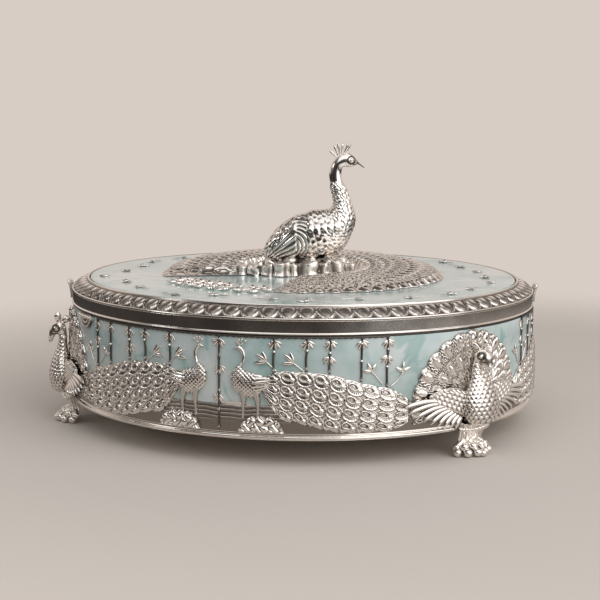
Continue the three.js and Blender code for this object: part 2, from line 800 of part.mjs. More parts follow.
// A tuft of blossoms in the fan's opening.
const blossomShares = [
  [-0.3, 0.1, 0.16],
  [-0.1, -0.18, 0.17],
  [0.05, 0.2, 0.18],
  [0.25, -0.05, 0.16],
  [-0.33, -0.2, 0.13],
  [0.3, -0.33, 0.13],
];
const tuftBearing = -33;
const tuftRadiusShare = 0.87; // of the fan's radius
const tuftWideShare = 0.8;
const tuftBedShare = 0.33; // of the tuft's height

function makeLidTuft() {
  const bearing = tuftBearing * degree;
  const radius = tuftRadiusShare * lidFanRadius;
  const place = [radius * Math.sin(bearing), -radius * Math.cos(bearing), 0];
  const bed = post(tuftLength / 2, reliefSeat, reliefSeat + tuftBedShare * tuftHeight, tuftSides)
    .scale(1, tuftWideShare, 1);
  const blossoms = blossomShares.map(([x, y, size]) => {
    const ball = new THREE.SphereGeometry(size * tuftLength, 8, 4)
      .rotateX(Math.PI / 2)
      .scale(1, 1, tuftHeight / (size * tuftLength));
    return solid(ball.translate(x * tuftLength + place[0], y * tuftLength + place[1], reliefSeat));
  });
  const under = solid(post(tuftLength, reliefSeat - overrun, reliefSeat, dishSides).translate(...place));
  const tuft = joined(solid(bed.translate(...place)), ...blossoms);
  return meshOf('lid_tuft', cutBy(tuft, under), silver);
}

// A curved lug on the band
function makeLug(name, bearing) {
  const plate = mapped(new THREE.BoxGeometry(1, 1, 1, 4, 3, 1), ({ x, y, z }) => {
    const up = y + 1 / 2;
    const turn = x * (lugWidth / rimRadius);
    const radius = rimRadius + gap + lugCurl * up * up + (z + 1 / 2) * lugThickness;
    return [radius * Math.sin(turn), -radius * Math.cos(turn), bandBottom + up * lugHeight];
  });
  const mesh = meshOf(name, solid(plate), silver);
  mesh.rotation.z = bearing * degree;
  return mesh;
}

// Finial: a peacock in the XZ plane, on a row of rocks. Its tables are shares
// of the bird's height, measured from the lid's axis and the seat line.

const bird = {
  bodyShares: [
    [0.435, 0.305, 0.03],
    [0.375, 0.285, 0.14],
    [0.25, 0.245, 0.185],
    [0.083, 0.205, 0.2],
    [-0.083, 0.17, 0.18],
    [-0.215, 0.115, 0.13],
    [-0.295, 0.05, 0.07],
    [-0.345, -0.002, 0.015],
  ],
  neckShares: [
    [0.32, 0.34, 0.14],
    [0.328, 0.455, 0.09],
    [0.313, 0.592, 0.058],
    [0.281, 0.737, 0.05],
    [0.3, 0.808, 0.052],
    [0.368, 0.834, 0.06],
    [0.437, 0.814, 0.036],
    [0.472, 0.797, 0.016],
  ],
  beakShares: [[0.44, 0.81, 0.022], [0.49, 0.786, 0.013], [0.538, 0.758, 0.004]],
  wingShares: [[0.24, 0.3, 0.03], [0.1, 0.25, 0.1], [-0.12, 0.14, 0.085], [-0.34, 0.01, 0.012]],
  wingOutShares: [0.13, 0.135, 0.095, 0.02],
  crestRootShares: [0.31, 0.87],
  crestTipShares: [
    [0.235, 0.915],
    [0.262, 0.955],
    [0.297, 0.98],
    [0.34, 0.993],
    [0.383, 0.985],
    [0.372, 0.945],
  ],
  crestStemShare: 0.008,
  crestLeafShare: 0.017,
  bodyWideShare: 0.7,
  wingWideShare: 0.3,
};
const rockShares = [
  [-0.5, 0.1, 0.07, 0.45],
  [-0.38, -0.1, 0.08, 0.65],
  [-0.25, 0.08, 0.085, 0.8],
  [-0.1, -0.06, 0.09, 0.95],
  [0.05, 0.07, 0.1, 1.06],
  [0.2, -0.05, 0.095, 1.15],
  [0.33, 0.06, 0.085, 1.12],
  [0.42, -0.07, 0.07, 0.8],
];
const rockBed = { halfShare: 0.5, wideShare: 0.2, highShare: 0.2, shiftShare: -0.05 };
const seatLine = enamelTop + peacockSeat;

function rockSolids(clearance) {
  return rockShares.map(([x, y, half, top]) => {
    const radius = half * rockLength + clearance;
    const high = enamelTop + top * peacockSeat + clearance;
    return solid(post(radius, reliefSeat, high, rockSides).translate(x * rockLength, y * rockLength, 0));
  });
}

function makeFinialBase() {
  const bedTop = reliefSeat + rockBed.highShare * peacockSeat;
  const bed = solid(post(rockBed.halfShare * rockLength, reliefSeat, bedTop, rockBedSides)
    .scale(1, rockBed.wideShare / rockBed.halfShare, 1)
    .translate(rockBed.shiftShare * rockLength, 0, 0));
  const bore = solid(post(lidBore, reliefSeat - overrun, seatLine + overrun, screwSides));
  return meshOf('finial_base', cutBy(joined(bed, ...rockSolids(0)), bore), silver);
}

function crestFeather(tip) {
  const [rootX, rootZ] = bird.crestRootShares;
  const bend = [(rootX + tip[0] * 2) / 3, (rootZ + tip[1] * 2) / 3];
  const shares = [
    [rootX, rootZ, bird.crestStemShare],
    [...bend, bird.crestStemShare],
    [...tip, bird.crestLeafShare],
  ];
  const place = (x, z) => [x * peacockHeight, 0, seatLine + z * peacockHeight];
  return solid(limbFrom(shares, place, peacockHeight, { sides: 3, steps: 3 }));
}

function makeFinialPeacock() {
  const place = (x, z) => [x * peacockHeight, 0, seatLine + z * peacockHeight];
  const grown = (shares, options) => solid(limbFrom(shares, place, peacockHeight, options));
  const wings = [-1, 1].map((side) => solid(limb(
    bird.wingShares.map(([x, z], i) => [
      x * peacockHeight,
      side * bird.wingOutShares[i] * peacockHeight,
      seatLine + z * peacockHeight,
    ]),
    bird.wingShares.map(([, , radius]) => radius * peacockHeight),
    { sides: 5, steps: 4, across: bird.wingWideShare },
  )));
  const whole = joined(
    grown(bird.bodyShares, { sides: 8, steps: 9, across: bird.bodyWideShare }),
    grown(bird.neckShares, { sides: 6, steps: 10 }),
    grown(bird.beakShares, { sides: 5, steps: 2 }),
    ...wings,
    ...bird.crestTipShares.map(crestFeather),
  );
  const bore = solid(post(lidBore, seatLine - overrun, seatLine + finialBite + gap, screwSides));
  return meshOf('finial_peacock', cutBy(whole, bore, ...rockSolids(gap)), silver);
}

function makeFinialWasher() {
  const top = lidUnder - gap;
  const profile = [
    [lidBore, top - washerThickness],
    [washerRadius, top - washerThickness],
    [washerRadius, top],
    [lidBore, top],
  ];
  return meshOf('finial_washer', solid(turned(profile, screwSides)), steel);
}

function makeFinialScrew() {
  const start = lidUnder - gap - washerThickness - gap;
  const screw = screwGeometry(finialHead, finialShank, seatLine + finialBite - start);
  return meshOf('finial_screw', solid(screw.translate(0, 0, start)), steel);
}

// Dishes: a round one in the middle and fan-shaped ones round it

function makeCentreDish() {
  const inner = centreDishRadius - dishWall;
  const profile = [
    [0, dishBottom],
    [centreDishRadius, dishBottom],
    [centreDishRadius, dishBottom + dishHeight],
    [inner, dishBottom + dishHeight],
    [inner, dishBottom + dishFloor],
    [0, dishBottom + dishFloor],
  ];
  return meshOf('dish_centre', solid(turned(profile, dishSides, false)), glass);
}

// Outline of a fan-shaped dish, drawn inward from its outer wall by an inset.
function fanOutline(inset) {
  const near = centreDishRadius + dishPlay + inset;
  const far = flangeRadius - gap - inset;
  const half = 180 / fanDishCount * degree;
  const side = dishPlay / 2 + inset;
  const corner = dishCorner - inset;
  const turns = 4;
  const arc = (radius, turn, from, to, size) => Array.from({ length: turns + 1 }, (_, i) => {
    const angle = THREE.MathUtils.lerp(from, to, i / turns);
    return new THREE.Vector2(
      radius * Math.sin(turn) + size * Math.sin(angle),
      -radius * Math.cos(turn) - size * Math.cos(angle),
    );
  });
  const nearTurn = half - Math.asin((side + corner) / (near + corner));
  const farTurn = half - Math.asin((side + corner) / (far - corner));
  const quarter = Math.PI / 2;
  const rightSide = [
    ...arc(near + corner, nearTurn, nearTurn + 2 * quarter, half + quarter, corner),
    ...arc(far - corner, farTurn, half + quarter, farTurn, corner),
  ];
  const rimSteps = 6;
  const farArc = Array.from({ length: rimSteps - 1 }, (_, i) => {
    const angle = THREE.MathUtils.lerp(farTurn, -farTurn, (i + 1) / rimSteps);
    return new THREE.Vector2(far * Math.sin(angle), -far * Math.cos(angle));
  });
  const nearArc = Array.from({ length: rimSteps - 1 }, (_, i) => {
    const angle = THREE.MathUtils.lerp(-nearTurn, nearTurn, (i + 1) / rimSteps);
    return new THREE.Vector2(near * Math.sin(angle), -near * Math.cos(angle));
  });
  const leftSide = rightSide.map((point) => new THREE.Vector2(-point.x, point.y)).reverse();
  return new THREE.Shape([...rightSide, ...farArc, ...leftSide, ...nearArc]);
}

function makeFanDish(name) {
  const outer = new THREE.ExtrudeGeometry(fanOutline(0), { depth: dishHeight, bevelEnabled: false })
    .translate(0, 0, dishBottom);
  const inner = new THREE.ExtrudeGeometry(fanOutline(dishWall), { depth: dishHeight, bevelEnabled: false })
    .translate(0, 0, dishBottom + dishFloor);
  return meshOf(name, cutBy(solid(outer), solid(inner)), glass);
}

// Assembly

const box = new THREE.Group();
box.add(makeWall(), makeBasePlate(), makeCatchPlate());

panelBearings.forEach((bearing, k) => {
  const panel = new THREE.Group();
  panel.rotation.z = bearing * degree;
  panel.add(
    makeEnamelPanel(`enamel_panel_${k + 1}`),
    makeWallPeacock(`wall_peacock_left_${k + 1}`, -1),
    makeWallPeacock(`wall_peacock_right_${k + 1}`, 1),
    makeBamboo(`bamboo_${k + 1}`),
    makeBaseScrew(`base_screw_${k + 1}`),
  );
  box.add(panel);
});

footBearings.forEach((bearing, k) => {
  const foot = new THREE.Group();
  foot.rotation.z = bearing * degree;
  foot.add(
    makeFanTail(`fan_tail_${k + 1}`),
    makeFootPeacock(`foot_peacock_${k + 1}`),
    makeFootScrew(`foot_screw_${k + 1}`),
  );
  box.add(foot);
});

const lid = new THREE.Group();
lid.rotation.z = lidTurn * degree;
lid.add(
  makeLidShell(),
  makeLidMoulding(),
  makeLidEnamel(),
  makeLidFan(),
  makeLidTuft(),
  makeLug('lug_left', -lugBearing),
  makeLug('lug_right', lugBearing),
  makeFinialBase(),
  makeFinialPeacock(),
  makeFinialWasher(),
  makeFinialScrew(),
);
box.add(lid, makeCentreDish());

for (let k = 0; k < fanDishCount; k += 1) {
  const dish = makeFanDish(`dish_${k + 1}`);
  dish.rotation.z = (k * 360 / fanDishCount) * degree;
  box.add(dish);
}

export default box;
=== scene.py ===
# %% [markdown]
# # A round box for dry fruit, in silver plate and enamel
# The box stands on three peacock feet. Its wall and lid carry cast peafowl,
# and a peacock stands on the lid as its handle. Castings like these could be
# sculpted by hand. Here each one is a surface worked out with numpy instead:
# a grid of points, pushed out along its own normal by a height that a formula
# gives, so that every feather can still be changed by a number. Lengths are
# in millimetres until a mesh is made.

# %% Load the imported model
import math

import bpy
import numpy as np
from mathutils import Matrix, Vector


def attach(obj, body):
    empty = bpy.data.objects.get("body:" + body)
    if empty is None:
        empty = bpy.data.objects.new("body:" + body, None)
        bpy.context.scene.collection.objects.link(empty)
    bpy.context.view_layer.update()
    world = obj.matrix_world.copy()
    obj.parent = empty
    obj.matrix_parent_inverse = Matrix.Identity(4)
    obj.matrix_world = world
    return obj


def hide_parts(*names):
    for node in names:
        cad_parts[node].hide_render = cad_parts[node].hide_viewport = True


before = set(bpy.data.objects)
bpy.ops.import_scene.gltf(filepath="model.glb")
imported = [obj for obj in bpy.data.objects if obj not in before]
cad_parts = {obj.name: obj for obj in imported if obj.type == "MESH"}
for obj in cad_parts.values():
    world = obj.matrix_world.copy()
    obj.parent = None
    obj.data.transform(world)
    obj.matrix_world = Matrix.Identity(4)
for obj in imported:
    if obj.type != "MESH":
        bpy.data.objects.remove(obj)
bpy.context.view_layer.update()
MM = 0.001

# %% [markdown]
# ## Camera
# The camera stands where the picture was taken from: a little above the lid
# and 18 degrees to the right of the middle of one enamel panel. It could be
# aimed by eye, but round rims look like ellipses, and those give its place,
# tilt and focal length by sums, so the numbers are set here.

# %% Camera
LID_TURN = math.radians(18.3)  # the lid faces the camera, the panels don't quite
CAMERA_REACH, CAMERA_HEIGHT = 945.468, 191.339
CAMERA_YAW, CAMERA_PITCH, CAMERA_ROLL = -0.00171943, 0.140881753, 0.00908553762
FOCAL_WIDTHS = 1502.37 / 600  # focal length in picture widths


def spun(points, angle):
    """Points turned about the upright axis: x cos a - y sin a, x sin a + y cos a."""
    x, y, z = np.moveaxis(np.asarray(points, float), -1, 0)
    return np.stack([x * np.cos(angle) - y * np.sin(angle),
                     x * np.sin(angle) + y * np.cos(angle), z + 0 * x], -1)


def camera_axes():
    """Right, up and backward directions of the camera, from its three angles."""
    ahead = np.array([np.sin(CAMERA_YAW) * np.cos(CAMERA_PITCH),
                      np.cos(CAMERA_YAW) * np.cos(CAMERA_PITCH), -np.sin(CAMERA_PITCH)])
    right = np.cross(ahead, [0, 0, 1])
    right /= np.linalg.norm(right)
    up = np.cross(right, ahead)
    level, tilt = np.cos(CAMERA_ROLL), np.sin(CAMERA_ROLL)
    axes = [level * right + tilt * up, level * up - tilt * right, -ahead]
    return [spun(axis, LID_TURN) for axis in axes]


lens = bpy.data.cameras.new("camera")
lens.sensor_width = 36
lens.lens = FOCAL_WIDTHS * lens.sensor_width
lens.clip_end = 10
camera = bpy.data.objects.new("camera", lens)
bpy.context.scene.collection.objects.link(camera)
eye = spun([0, -CAMERA_REACH, CAMERA_HEIGHT], LID_TURN) * MM
turn = Matrix([[axis[row] for axis in camera_axes()] for row in range(3)]).to_4x4()
camera.matrix_world = Matrix.Translation(Vector(eye)) @ turn
bpy.context.scene.camera = camera
print("camera at, m:", np.round(eye, 3), "lens, mm:", round(lens.lens, 1))

# %% [markdown]
# ## Finishes
# The metal is silver plate over cast and spun metal. Plating keeps a warm
# white tone, and a polisher's wheel never reaches the hollows, so they stay
# darker and duller with tarnish. The hollows are also painted darker as
# shade, and a few other marks are painted shade or a painted dark reflection.
# This dark could be painted as a picture, but then it would not follow a
# changed shape. So each mesh stores how dark each point is painted, from how
# deep its hollows are and from those marks, in an attribute, and the material
# darkens the metal by it.

# %% Material helpers
def linear(code):
    """An sRGB hex colour as linear red, green, blue and alpha."""
    share = np.array([int(code[i:i + 2], 16) for i in (1, 3, 5)]) / 255
    bent = np.where(share <= 0.04045, share / 12.92, ((share + 0.055) / 1.055) ** 2.4)
    return (*bent.tolist(), 1.0)


def feed(tree, node, inputs):
    """Links each input that is given a socket, and sets the others."""
    for name, value in inputs.items():
        if isinstance(value, bpy.types.NodeSocket):
            tree.links.new(value, node.inputs[name])
        else:
            node.inputs[name].default_value = value
    return node


def add(tree, kind, inputs=None, stops=(), **settings):
    """Adds a node with its settings and links. Stops are a colour ramp's (place, hex colour) marks."""
    node = tree.nodes.new(kind)
    for name, value in settings.items():
        setattr(node, name, value)
    if stops:
        marks = node.color_ramp.elements
        while len(marks) < len(stops):
            marks.new(0.5)
        for mark, (place, code) in zip(marks, stops):
            mark.position, mark.color = place, linear(code)
    return feed(tree, node, inputs or {})


def new_material(name):
    """A material with its node tree, its Principled shader and the places on the object."""
    material = bpy.data.materials.new(name)
    material.use_nodes = True
    tree = material.node_tree
    place = add(tree, "ShaderNodeTexCoord").outputs["Object"]
    return material, tree, tree.nodes["Principled BSDF"], place


print("mid grey as linear red:", round(linear("#808080")[0], 3))

# %% Silver plate
# The ramp runs from polished metal through tarnish to painted shade.
SILVER_STOPS = [(0.0, "#f2ece6"), (0.4, "#8c847d"), (1.0, "#1f1b19")]  # polished, worn, never reached
SMUDGE = 22  # mm, about a fingertip and its smear
GRAIN = 2.5  # mm, far coarser than a polisher's grit, so that it shows


def silver_plate(name, polish):
    """Warm white metal that gets darker and duller with its attribute of tarnish
    and painted shade.

    The roughness is polish times 0.75 to 1.35, by the smudges, plus 0.35 of
    that attribute.
    """
    material, tree, shader, place = new_material(name)
    tarnish_and_painted_shade = add(tree, "ShaderNodeAttribute", attribute_name="tarnish_and_painted_shade").outputs["Fac"]
    smudge = add(tree, "ShaderNodeTexNoise", {"Vector": place, "Scale": 1 / (SMUDGE * MM), "Detail": 3.0})
    grain = add(tree, "ShaderNodeTexNoise", {"Vector": place, "Scale": 1 / (GRAIN * MM), "Detail": 2.0})
    colour = add(tree, "ShaderNodeValToRGB", {"Fac": tarnish_and_painted_shade}, SILVER_STOPS)
    worn = add(tree, "ShaderNodeMapRange", {
        "Value": smudge.outputs["Fac"], "From Min": 0.3, "From Max": 0.7,
        "To Min": polish * 0.75, "To Max": polish * 1.35})
    rough = add(tree, "ShaderNodeMath", {0: tarnish_and_painted_shade, 1: 0.35, 2: worn.outputs["Result"]},
                operation="MULTIPLY_ADD")
    bump = add(tree, "ShaderNodeBump", {
        "Height": grain.outputs["Fac"], "Strength": 0.12, "Distance": 0.05 * MM})
    feed(tree, shader, {"Base Color": colour.outputs["Color"], "Roughness": rough.outputs[0],
                        "Normal": bump.outputs["Normal"], "Metallic": 1.0})
    return material


# Spun and cast plate are polished: the eye gets sharp, dark and bright
# reflections. Brushed plate spreads each highlight into an even satin sheen.
SPUN = silver_plate("spun_silver_plate", 0.12)
CAST = silver_plate("cast_silver_plate", 0.13)
SATIN = silver_plate("brushed_satin_silver_plate", 0.3)
print("silver:", SPUN.name, CAST.name, SATIN.name)

# %% [markdown]
# ### Enamel
# The pale panels and the lid's disc are enamel: ground glass fused on metal,
# with milky clouds that drifted while it was soft. One picture for each panel
# could carry them, but it would show seams. A noise over the object's own
# places has none, and a second, wide noise that pulls those places about
# turns its blobs into drifting clouds.

# %% Enamel, which is glass fused on metal
ENAMEL_STOPS = [(0.30, "#98b2b0"), (0.43, "#b2c6c5"), (0.55, "#c4d0d0"), (0.70, "#d8dad8")]
ENAMEL_STREAK = "#72a19c"
CLOUD, STREAK, WAVE = 38, 16, 9  # mm, across one cloud, one streak, one wave of the coat
CLOUD_BEND, CLOUD_PULL = 60, 40  # mm, clouds are pulled 40 by a noise 60 wide


def fused_enamel():
    """Milky clouds and darker green streaks, both on places pulled about by a wide noise.

    It gives the eye a pale blue-green depth under a glossy, slightly wavy coat.
    """
    material, tree, shader, place = new_material("fused_enamel")
    bend = add(tree, "ShaderNodeTexNoise", {"Vector": place, "Scale": 1 / (CLOUD_BEND * MM), "Detail": 3.0})
    pulled = add(tree, "ShaderNodeVectorMath", {0: bend.outputs["Color"], "Scale": CLOUD_PULL * MM},
                 operation="SCALE")
    drift = add(tree, "ShaderNodeVectorMath", {0: place, 1: pulled.outputs[0]}, operation="ADD").outputs[0]
    cloud = add(tree, "ShaderNodeTexNoise", {
        "Vector": drift, "Scale": 1 / (CLOUD * MM), "Detail": 5.0, "Roughness": 0.55})
    colour = add(tree, "ShaderNodeValToRGB", {"Fac": cloud.outputs["Fac"]}, ENAMEL_STOPS)
    vein = add(tree, "ShaderNodeTexNoise", {
        "Vector": drift, "Scale": 1 / (STREAK * MM), "Detail": 4.0, "Distortion": 0.8})
    streak = add(tree, "ShaderNodeMapRange", {
        "Value": vein.outputs["Fac"], "From Min": 0.56, "From Max": 0.68, "To Min": 0.0, "To Max": 0.55})
    tint = add(tree, "ShaderNodeMix", {
        "Factor": streak.outputs["Result"], "A": colour.outputs["Color"], "B": linear(ENAMEL_STREAK)},
        data_type="RGBA")
    wave = add(tree, "ShaderNodeTexNoise", {"Vector": place, "Scale": 1 / (WAVE * MM), "Detail": 2.0})
    bump = add(tree, "ShaderNodeBump", {
        "Height": wave.outputs["Fac"], "Strength": 0.4, "Distance": 0.5 * MM})
    feed(tree, shader, {"Base Color": tint.outputs["Result"], "Normal": bump.outputs["Normal"],
                        "Roughness": 0.2, "IOR": 1.52, "Coat Weight": 0.5, "Coat Roughness": 0.08})
    return material


ENAMEL = fused_enamel()
print("enamel:", ENAMEL.name)

# %% [markdown]
# ### Steel and glass
# The screws are zinc-plated steel and the dishes are pressed glass. Both
# could have plain numbers only, but even a small screw looks false without
# some change of tone, and glass from a mould is never quite flat. One noise
# each is enough for that.

# %% Steel for the screws, glass for the dishes
STEEL_STOPS = [(0.3, "#8f8f8c"), (0.7, "#b4b4b0")]
SPECKLE, RIPPLE = 0.8, 14  # mm; zinc's own crystals are finer than this speckle and wouldn't show


def zinc_plated_steel():
    """Rolled steel with a thin zinc coat: a flat grey shine with a fine speckle."""
    material, tree, shader, place = new_material("zinc_plated_steel")
    grain = add(tree, "ShaderNodeTexNoise", {"Vector": place, "Scale": 1 / (SPECKLE * MM), "Detail": 3.0})
    colour = add(tree, "ShaderNodeValToRGB", {"Fac": grain.outputs["Fac"]}, STEEL_STOPS)
    feed(tree, shader, {"Base Color": colour.outputs["Color"], "Metallic": 1.0, "Roughness": 0.38})
    return material


def pressed_glass():
    """Clear glass from a mould: bright rims, and faint ripples that bend what is behind."""
    material, tree, shader, place = new_material("pressed_glass")
    ripple = add(tree, "ShaderNodeTexNoise", {"Vector": place, "Scale": 1 / (RIPPLE * MM), "Detail": 1.0})
    bump = add(tree, "ShaderNodeBump", {
        "Height": ripple.outputs["Fac"], "Strength": 0.15, "Distance": 0.4 * MM})
    feed(tree, shader, {"Base Color": linear("#eef5f4"), "Normal": bump.outputs["Normal"],
                        "Transmission Weight": 1.0, "IOR": 1.5, "Roughness": 0.03})
    return material


STEEL = zinc_plated_steel()
GLASS = pressed_glass()
print("screws and dishes:", STEEL.name, GLASS.name)

# %% [markdown]
# ## From grids to meshes
# Every new piece is one or more closed tubes: a row of closed sections, each
# with the same number of points. Neighbouring sections are joined by quads
# and the first and last one are filled, or the row runs on into itself as a
# ring. Modelling by hand would need each face drawn, while a tube only needs
# its points. A piece collects its tubes in one mesh, with each point's tarnish
# and painted shade.

# %% Closed tubes
def tube(sections, tarnish_and_painted_shade=None, ring=False):
    """Faces of a closed tube whose sections are a steps x around x 3 array.

    Point (i, j) is joined to (i, j + 1), (i + 1, j + 1) and (i + 1, j). The
    sum of p . (q x r) over the triangles tells whether they face inward.
    """
    sections = np.asarray(sections, float)
    steps, around = sections.shape[:2]
    number = np.arange(steps * around).reshape(steps, around)
    near = number if ring else number[:-1]
    far = np.roll(number, -1, 0) if ring else number[1:]
    quads = np.stack([near, np.roll(near, -1, 1), np.roll(far, -1, 1), far], -1).reshape(-1, 4)
    points = sections.reshape(-1, 3)
    middle = points - points.mean(0)
    p, q, r, s = (middle[quads[:, k]] for k in range(4))
    volume = np.sum(p * np.cross(q, r)) + np.sum(p * np.cross(r, s))
    caps = [] if ring else [number[0][::-1], number[-1]]
    for cap in caps:
        a, b = middle[cap[1:-1]], middle[cap[2:]]
        volume += np.sum(middle[cap[0]] * np.cross(a, b))
    if volume < 0:
        quads, caps = quads[:, ::-1], [cap[::-1] for cap in caps]
    depth = np.zeros(steps * around) if tarnish_and_painted_shade is None else np.asarray(tarnish_and_painted_shade, float).ravel()
    return points, quads, caps, depth


brick = tube([[(0, 0, z), (2, 0, z), (2, 1, z), (0, 1, z)] for z in (0, 1)])
print("a brick as a tube:", len(brick[1]), "sides and", len(brick[2]), "caps")

# %% Meshes
def piece(name, tubes, material, body, node):
    """A mesh object of several tubes that rides on a body and stands for a node.

    Sides are shaded smooth and caps flat.
    """
    points = np.concatenate([t[0] for t in tubes]) * MM
    depth = np.concatenate([t[3] for t in tubes])
    starts = np.cumsum([0] + [len(t[0]) for t in tubes])
    loops, sizes = [], []
    for (_, quads, caps, _), start in zip(tubes, starts):
        loops += [(quads + start).ravel()] + [cap + start for cap in caps]
        sizes += [np.full(len(quads), 4)] + [np.array([len(cap)]) for cap in caps]
    loops, sizes = np.concatenate(loops), np.concatenate(sizes)
    mesh = bpy.data.meshes.new(name)
    mesh.vertices.add(len(points))
    mesh.vertices.foreach_set("co", points.ravel())
    mesh.loops.add(len(loops))
    mesh.loops.foreach_set("vertex_index", loops)
    mesh.polygons.add(len(sizes))
    mesh.polygons.foreach_set("loop_start", np.concatenate([[0], np.cumsum(sizes)[:-1]]))
    mesh.update(calc_edges=True)
    mesh.validate()
    mesh.polygons.foreach_set("use_smooth", (sizes == 4)[:len(mesh.polygons)])
    mesh.attributes.new("tarnish_and_painted_shade", "FLOAT", "POINT").data.foreach_set("value", depth)
    mesh.materials.append(material)
    made = bpy.data.objects.new(name, mesh)
    bpy.context.scene.collection.objects.link(made)
    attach(made, body)
    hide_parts(node)
    print(f"{name}: {len(points)} points, {int(np.sum(sizes - 2))} triangles")
    return made


print("CAD nodes in the frame:", len(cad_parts))

# %% [markdown]
# ## Placing and shaping
# A casting on the wall is drawn flat, with a distance along the wall, a
# height and how proud it stands, and then wrapped round the wall. A bend
# modifier could do that too, but it would leave a live modifier on each
# piece. Smooth outlines come from a few measured points, joined by a spline.

# %% Wrapping and splines
WALL = 144.1  # outer radius of the bare wall
RIM = 145.0  # outer radius of the lid's band
THIRD = math.radians(120)
degrees = math.pi / 180


def wrapped(along, height, proud, turn=0.0, side=1):
    """Places on the wall: x = r sin b and y = -r cos b.

    r is WALL + proud, and b is side * along / WALL + turn.
    """
    bearing = side * np.asarray(along, float) / WALL + turn
    radius = WALL + np.asarray(proud, float)
    return np.stack(np.broadcast_arrays(radius * np.sin(bearing), -radius * np.cos(bearing), height), -1)


def splined(keys, count):
    """Rows between key rows on a Catmull-Rom spline, at even steps of the key number."""
    keys = np.asarray(keys, float)
    place = np.linspace(0, len(keys) - 1, count)
    start = np.clip(place.astype(int), 0, len(keys) - 2)
    share = (place - start)[:, None]
    a, b, c, d = (keys[np.clip(start + k, 0, len(keys) - 1)] for k in (-1, 0, 1, 2))
    return b + share * (c - a + share * (2 * a - 5 * b + 4 * c - d + share * (3 * (b - c) + d - a))) / 2


print("one degree along the wall, mm:", round(WALL * degrees, 2))

# %% Relief and its hollows
def smooth(height, times=6):
    """Each point takes the mean of itself and its four neighbours, several times over."""
    for _ in range(times):
        grown = np.pad(height, 1, mode="edge")
        height = (grown[1:-1, 1:-1] + grown[:-2, 1:-1] + grown[2:, 1:-1]
                  + grown[1:-1, :-2] + grown[1:-1, 2:]) / 5
    return height


def hollows(height, depth, times=8):
    """How far a point lies below the mean of its surroundings, as a share of a depth: tarnish and painted
    shade.
    """
    return np.clip((smooth(height, times) - height) / depth, 0, 1)


def raised(points, height):
    """Moves a closed tube's points outward along its normal.

    The normal is the cross product of the tube's two directions. Its sign
    comes from the sum of normal . (point - middle of its section).
    """
    along = np.gradient(points, axis=0)
    around = np.roll(points, -1, 1) - np.roll(points, 1, 1)
    normal = np.cross(along, around)
    normal /= np.linalg.norm(normal, axis=-1, keepdims=True) + 1e-12
    outward = np.sign(np.sum(normal * (points - points.mean(1, keepdims=True))))
    return points + outward * normal * height[..., None]


print("hollow at the foot of a 1 mm step:", hollows(np.repeat([[0.0, 1.0]], 8, 0), 1)[4, 0].round(2))

# %% Small forms
def from_ends(value, low=0.0, high=1.0):
    """Distance to the nearer of two ends."""
    return np.minimum(value - low, high - value)


def edge_ramp(distance, steep, power=0.5):
    """Nought at an edge, one from 1 / steep away from it on, and rounded between."""
    return np.clip(distance * steep, 0, 1) ** power


def ridge(distance, width):
    """A soft ridge along a line: exp(-(distance / width)^2)."""
    return np.exp(-(distance / width) ** 2)


def half_ball(*shares):
    """The upper half of a ball: sqrt(1 - a^2 - b^2), and nought outside it."""
    return np.sqrt(np.clip(1 - sum(share ** 2 for share in shares), 0, 1))


print("height of a ball at half its radius:", half_ball(np.array(0.5)).round(3))

# %% [markdown]
# ## Feathers
# Feathers, scales and beads repeat hundreds of times. Each could be a small
# object set on the body, but a casting has no such joints: it is one skin.
# So each is a cell, a height that depends on the distance from the cell's
# middle, and a lattice takes the highest cell at every point of the skin.

# %% Lattices
def lattice(u, v, pitch_u, pitch_v, cell, columns=1):
    """The highest of the cells near each point of a brick lattice.

    Rows lie pitch_u apart, and odd rows are shifted by half of pitch_v. A
    cell is a function of the two distances from its middle.
    """
    middle = np.round(u / pitch_u)
    best = np.full(np.broadcast(u, v).shape, -9.0)
    for step in (-1, 0, 1):
        row = middle + step
        shift = np.mod(row, 2) / 2
        for side in range(-columns, columns + 1):
            column = np.round(v / pitch_v - shift) + side
            best = np.maximum(best, cell(u - row * pitch_u, v - (column + shift) * pitch_v))
    return best


def grid_cells(u, v, cell):
    """The highest of the cells near each point of a square lattice with its middles at the halves."""
    best = np.full(np.broadcast(u, v).shape, -9.0)
    for step in (-1, 0, 1):
        for side in (-1, 0, 1):
            best = np.maximum(best, cell(u - np.floor(u) - step - 0.5, v - np.floor(v) - side - 0.5))
    return best


print("lattice of cones, height at three places:",
      lattice(np.arange(3) / 2, np.zeros(3), 1, 1, lambda a, b: 1 - np.hypot(a, b)).round(2))

# %% Scales, beads and eye feathers
def scale_cell(length, width):
    """A pointed scale: half an ellipsoid that narrows toward its tip and stands highest there."""
    def cell(a, b):
        narrow = width * np.clip(1.15 - 0.55 * a / length, 0.3, 1.4)
        return half_ball(a / length, b / narrow) * (0.75 + 0.25 * a / length)
    return cell


def bead_cell(radius):
    """A round bead: the upper half of a ball."""
    return lambda a, b: half_ball(a / radius, b / radius)


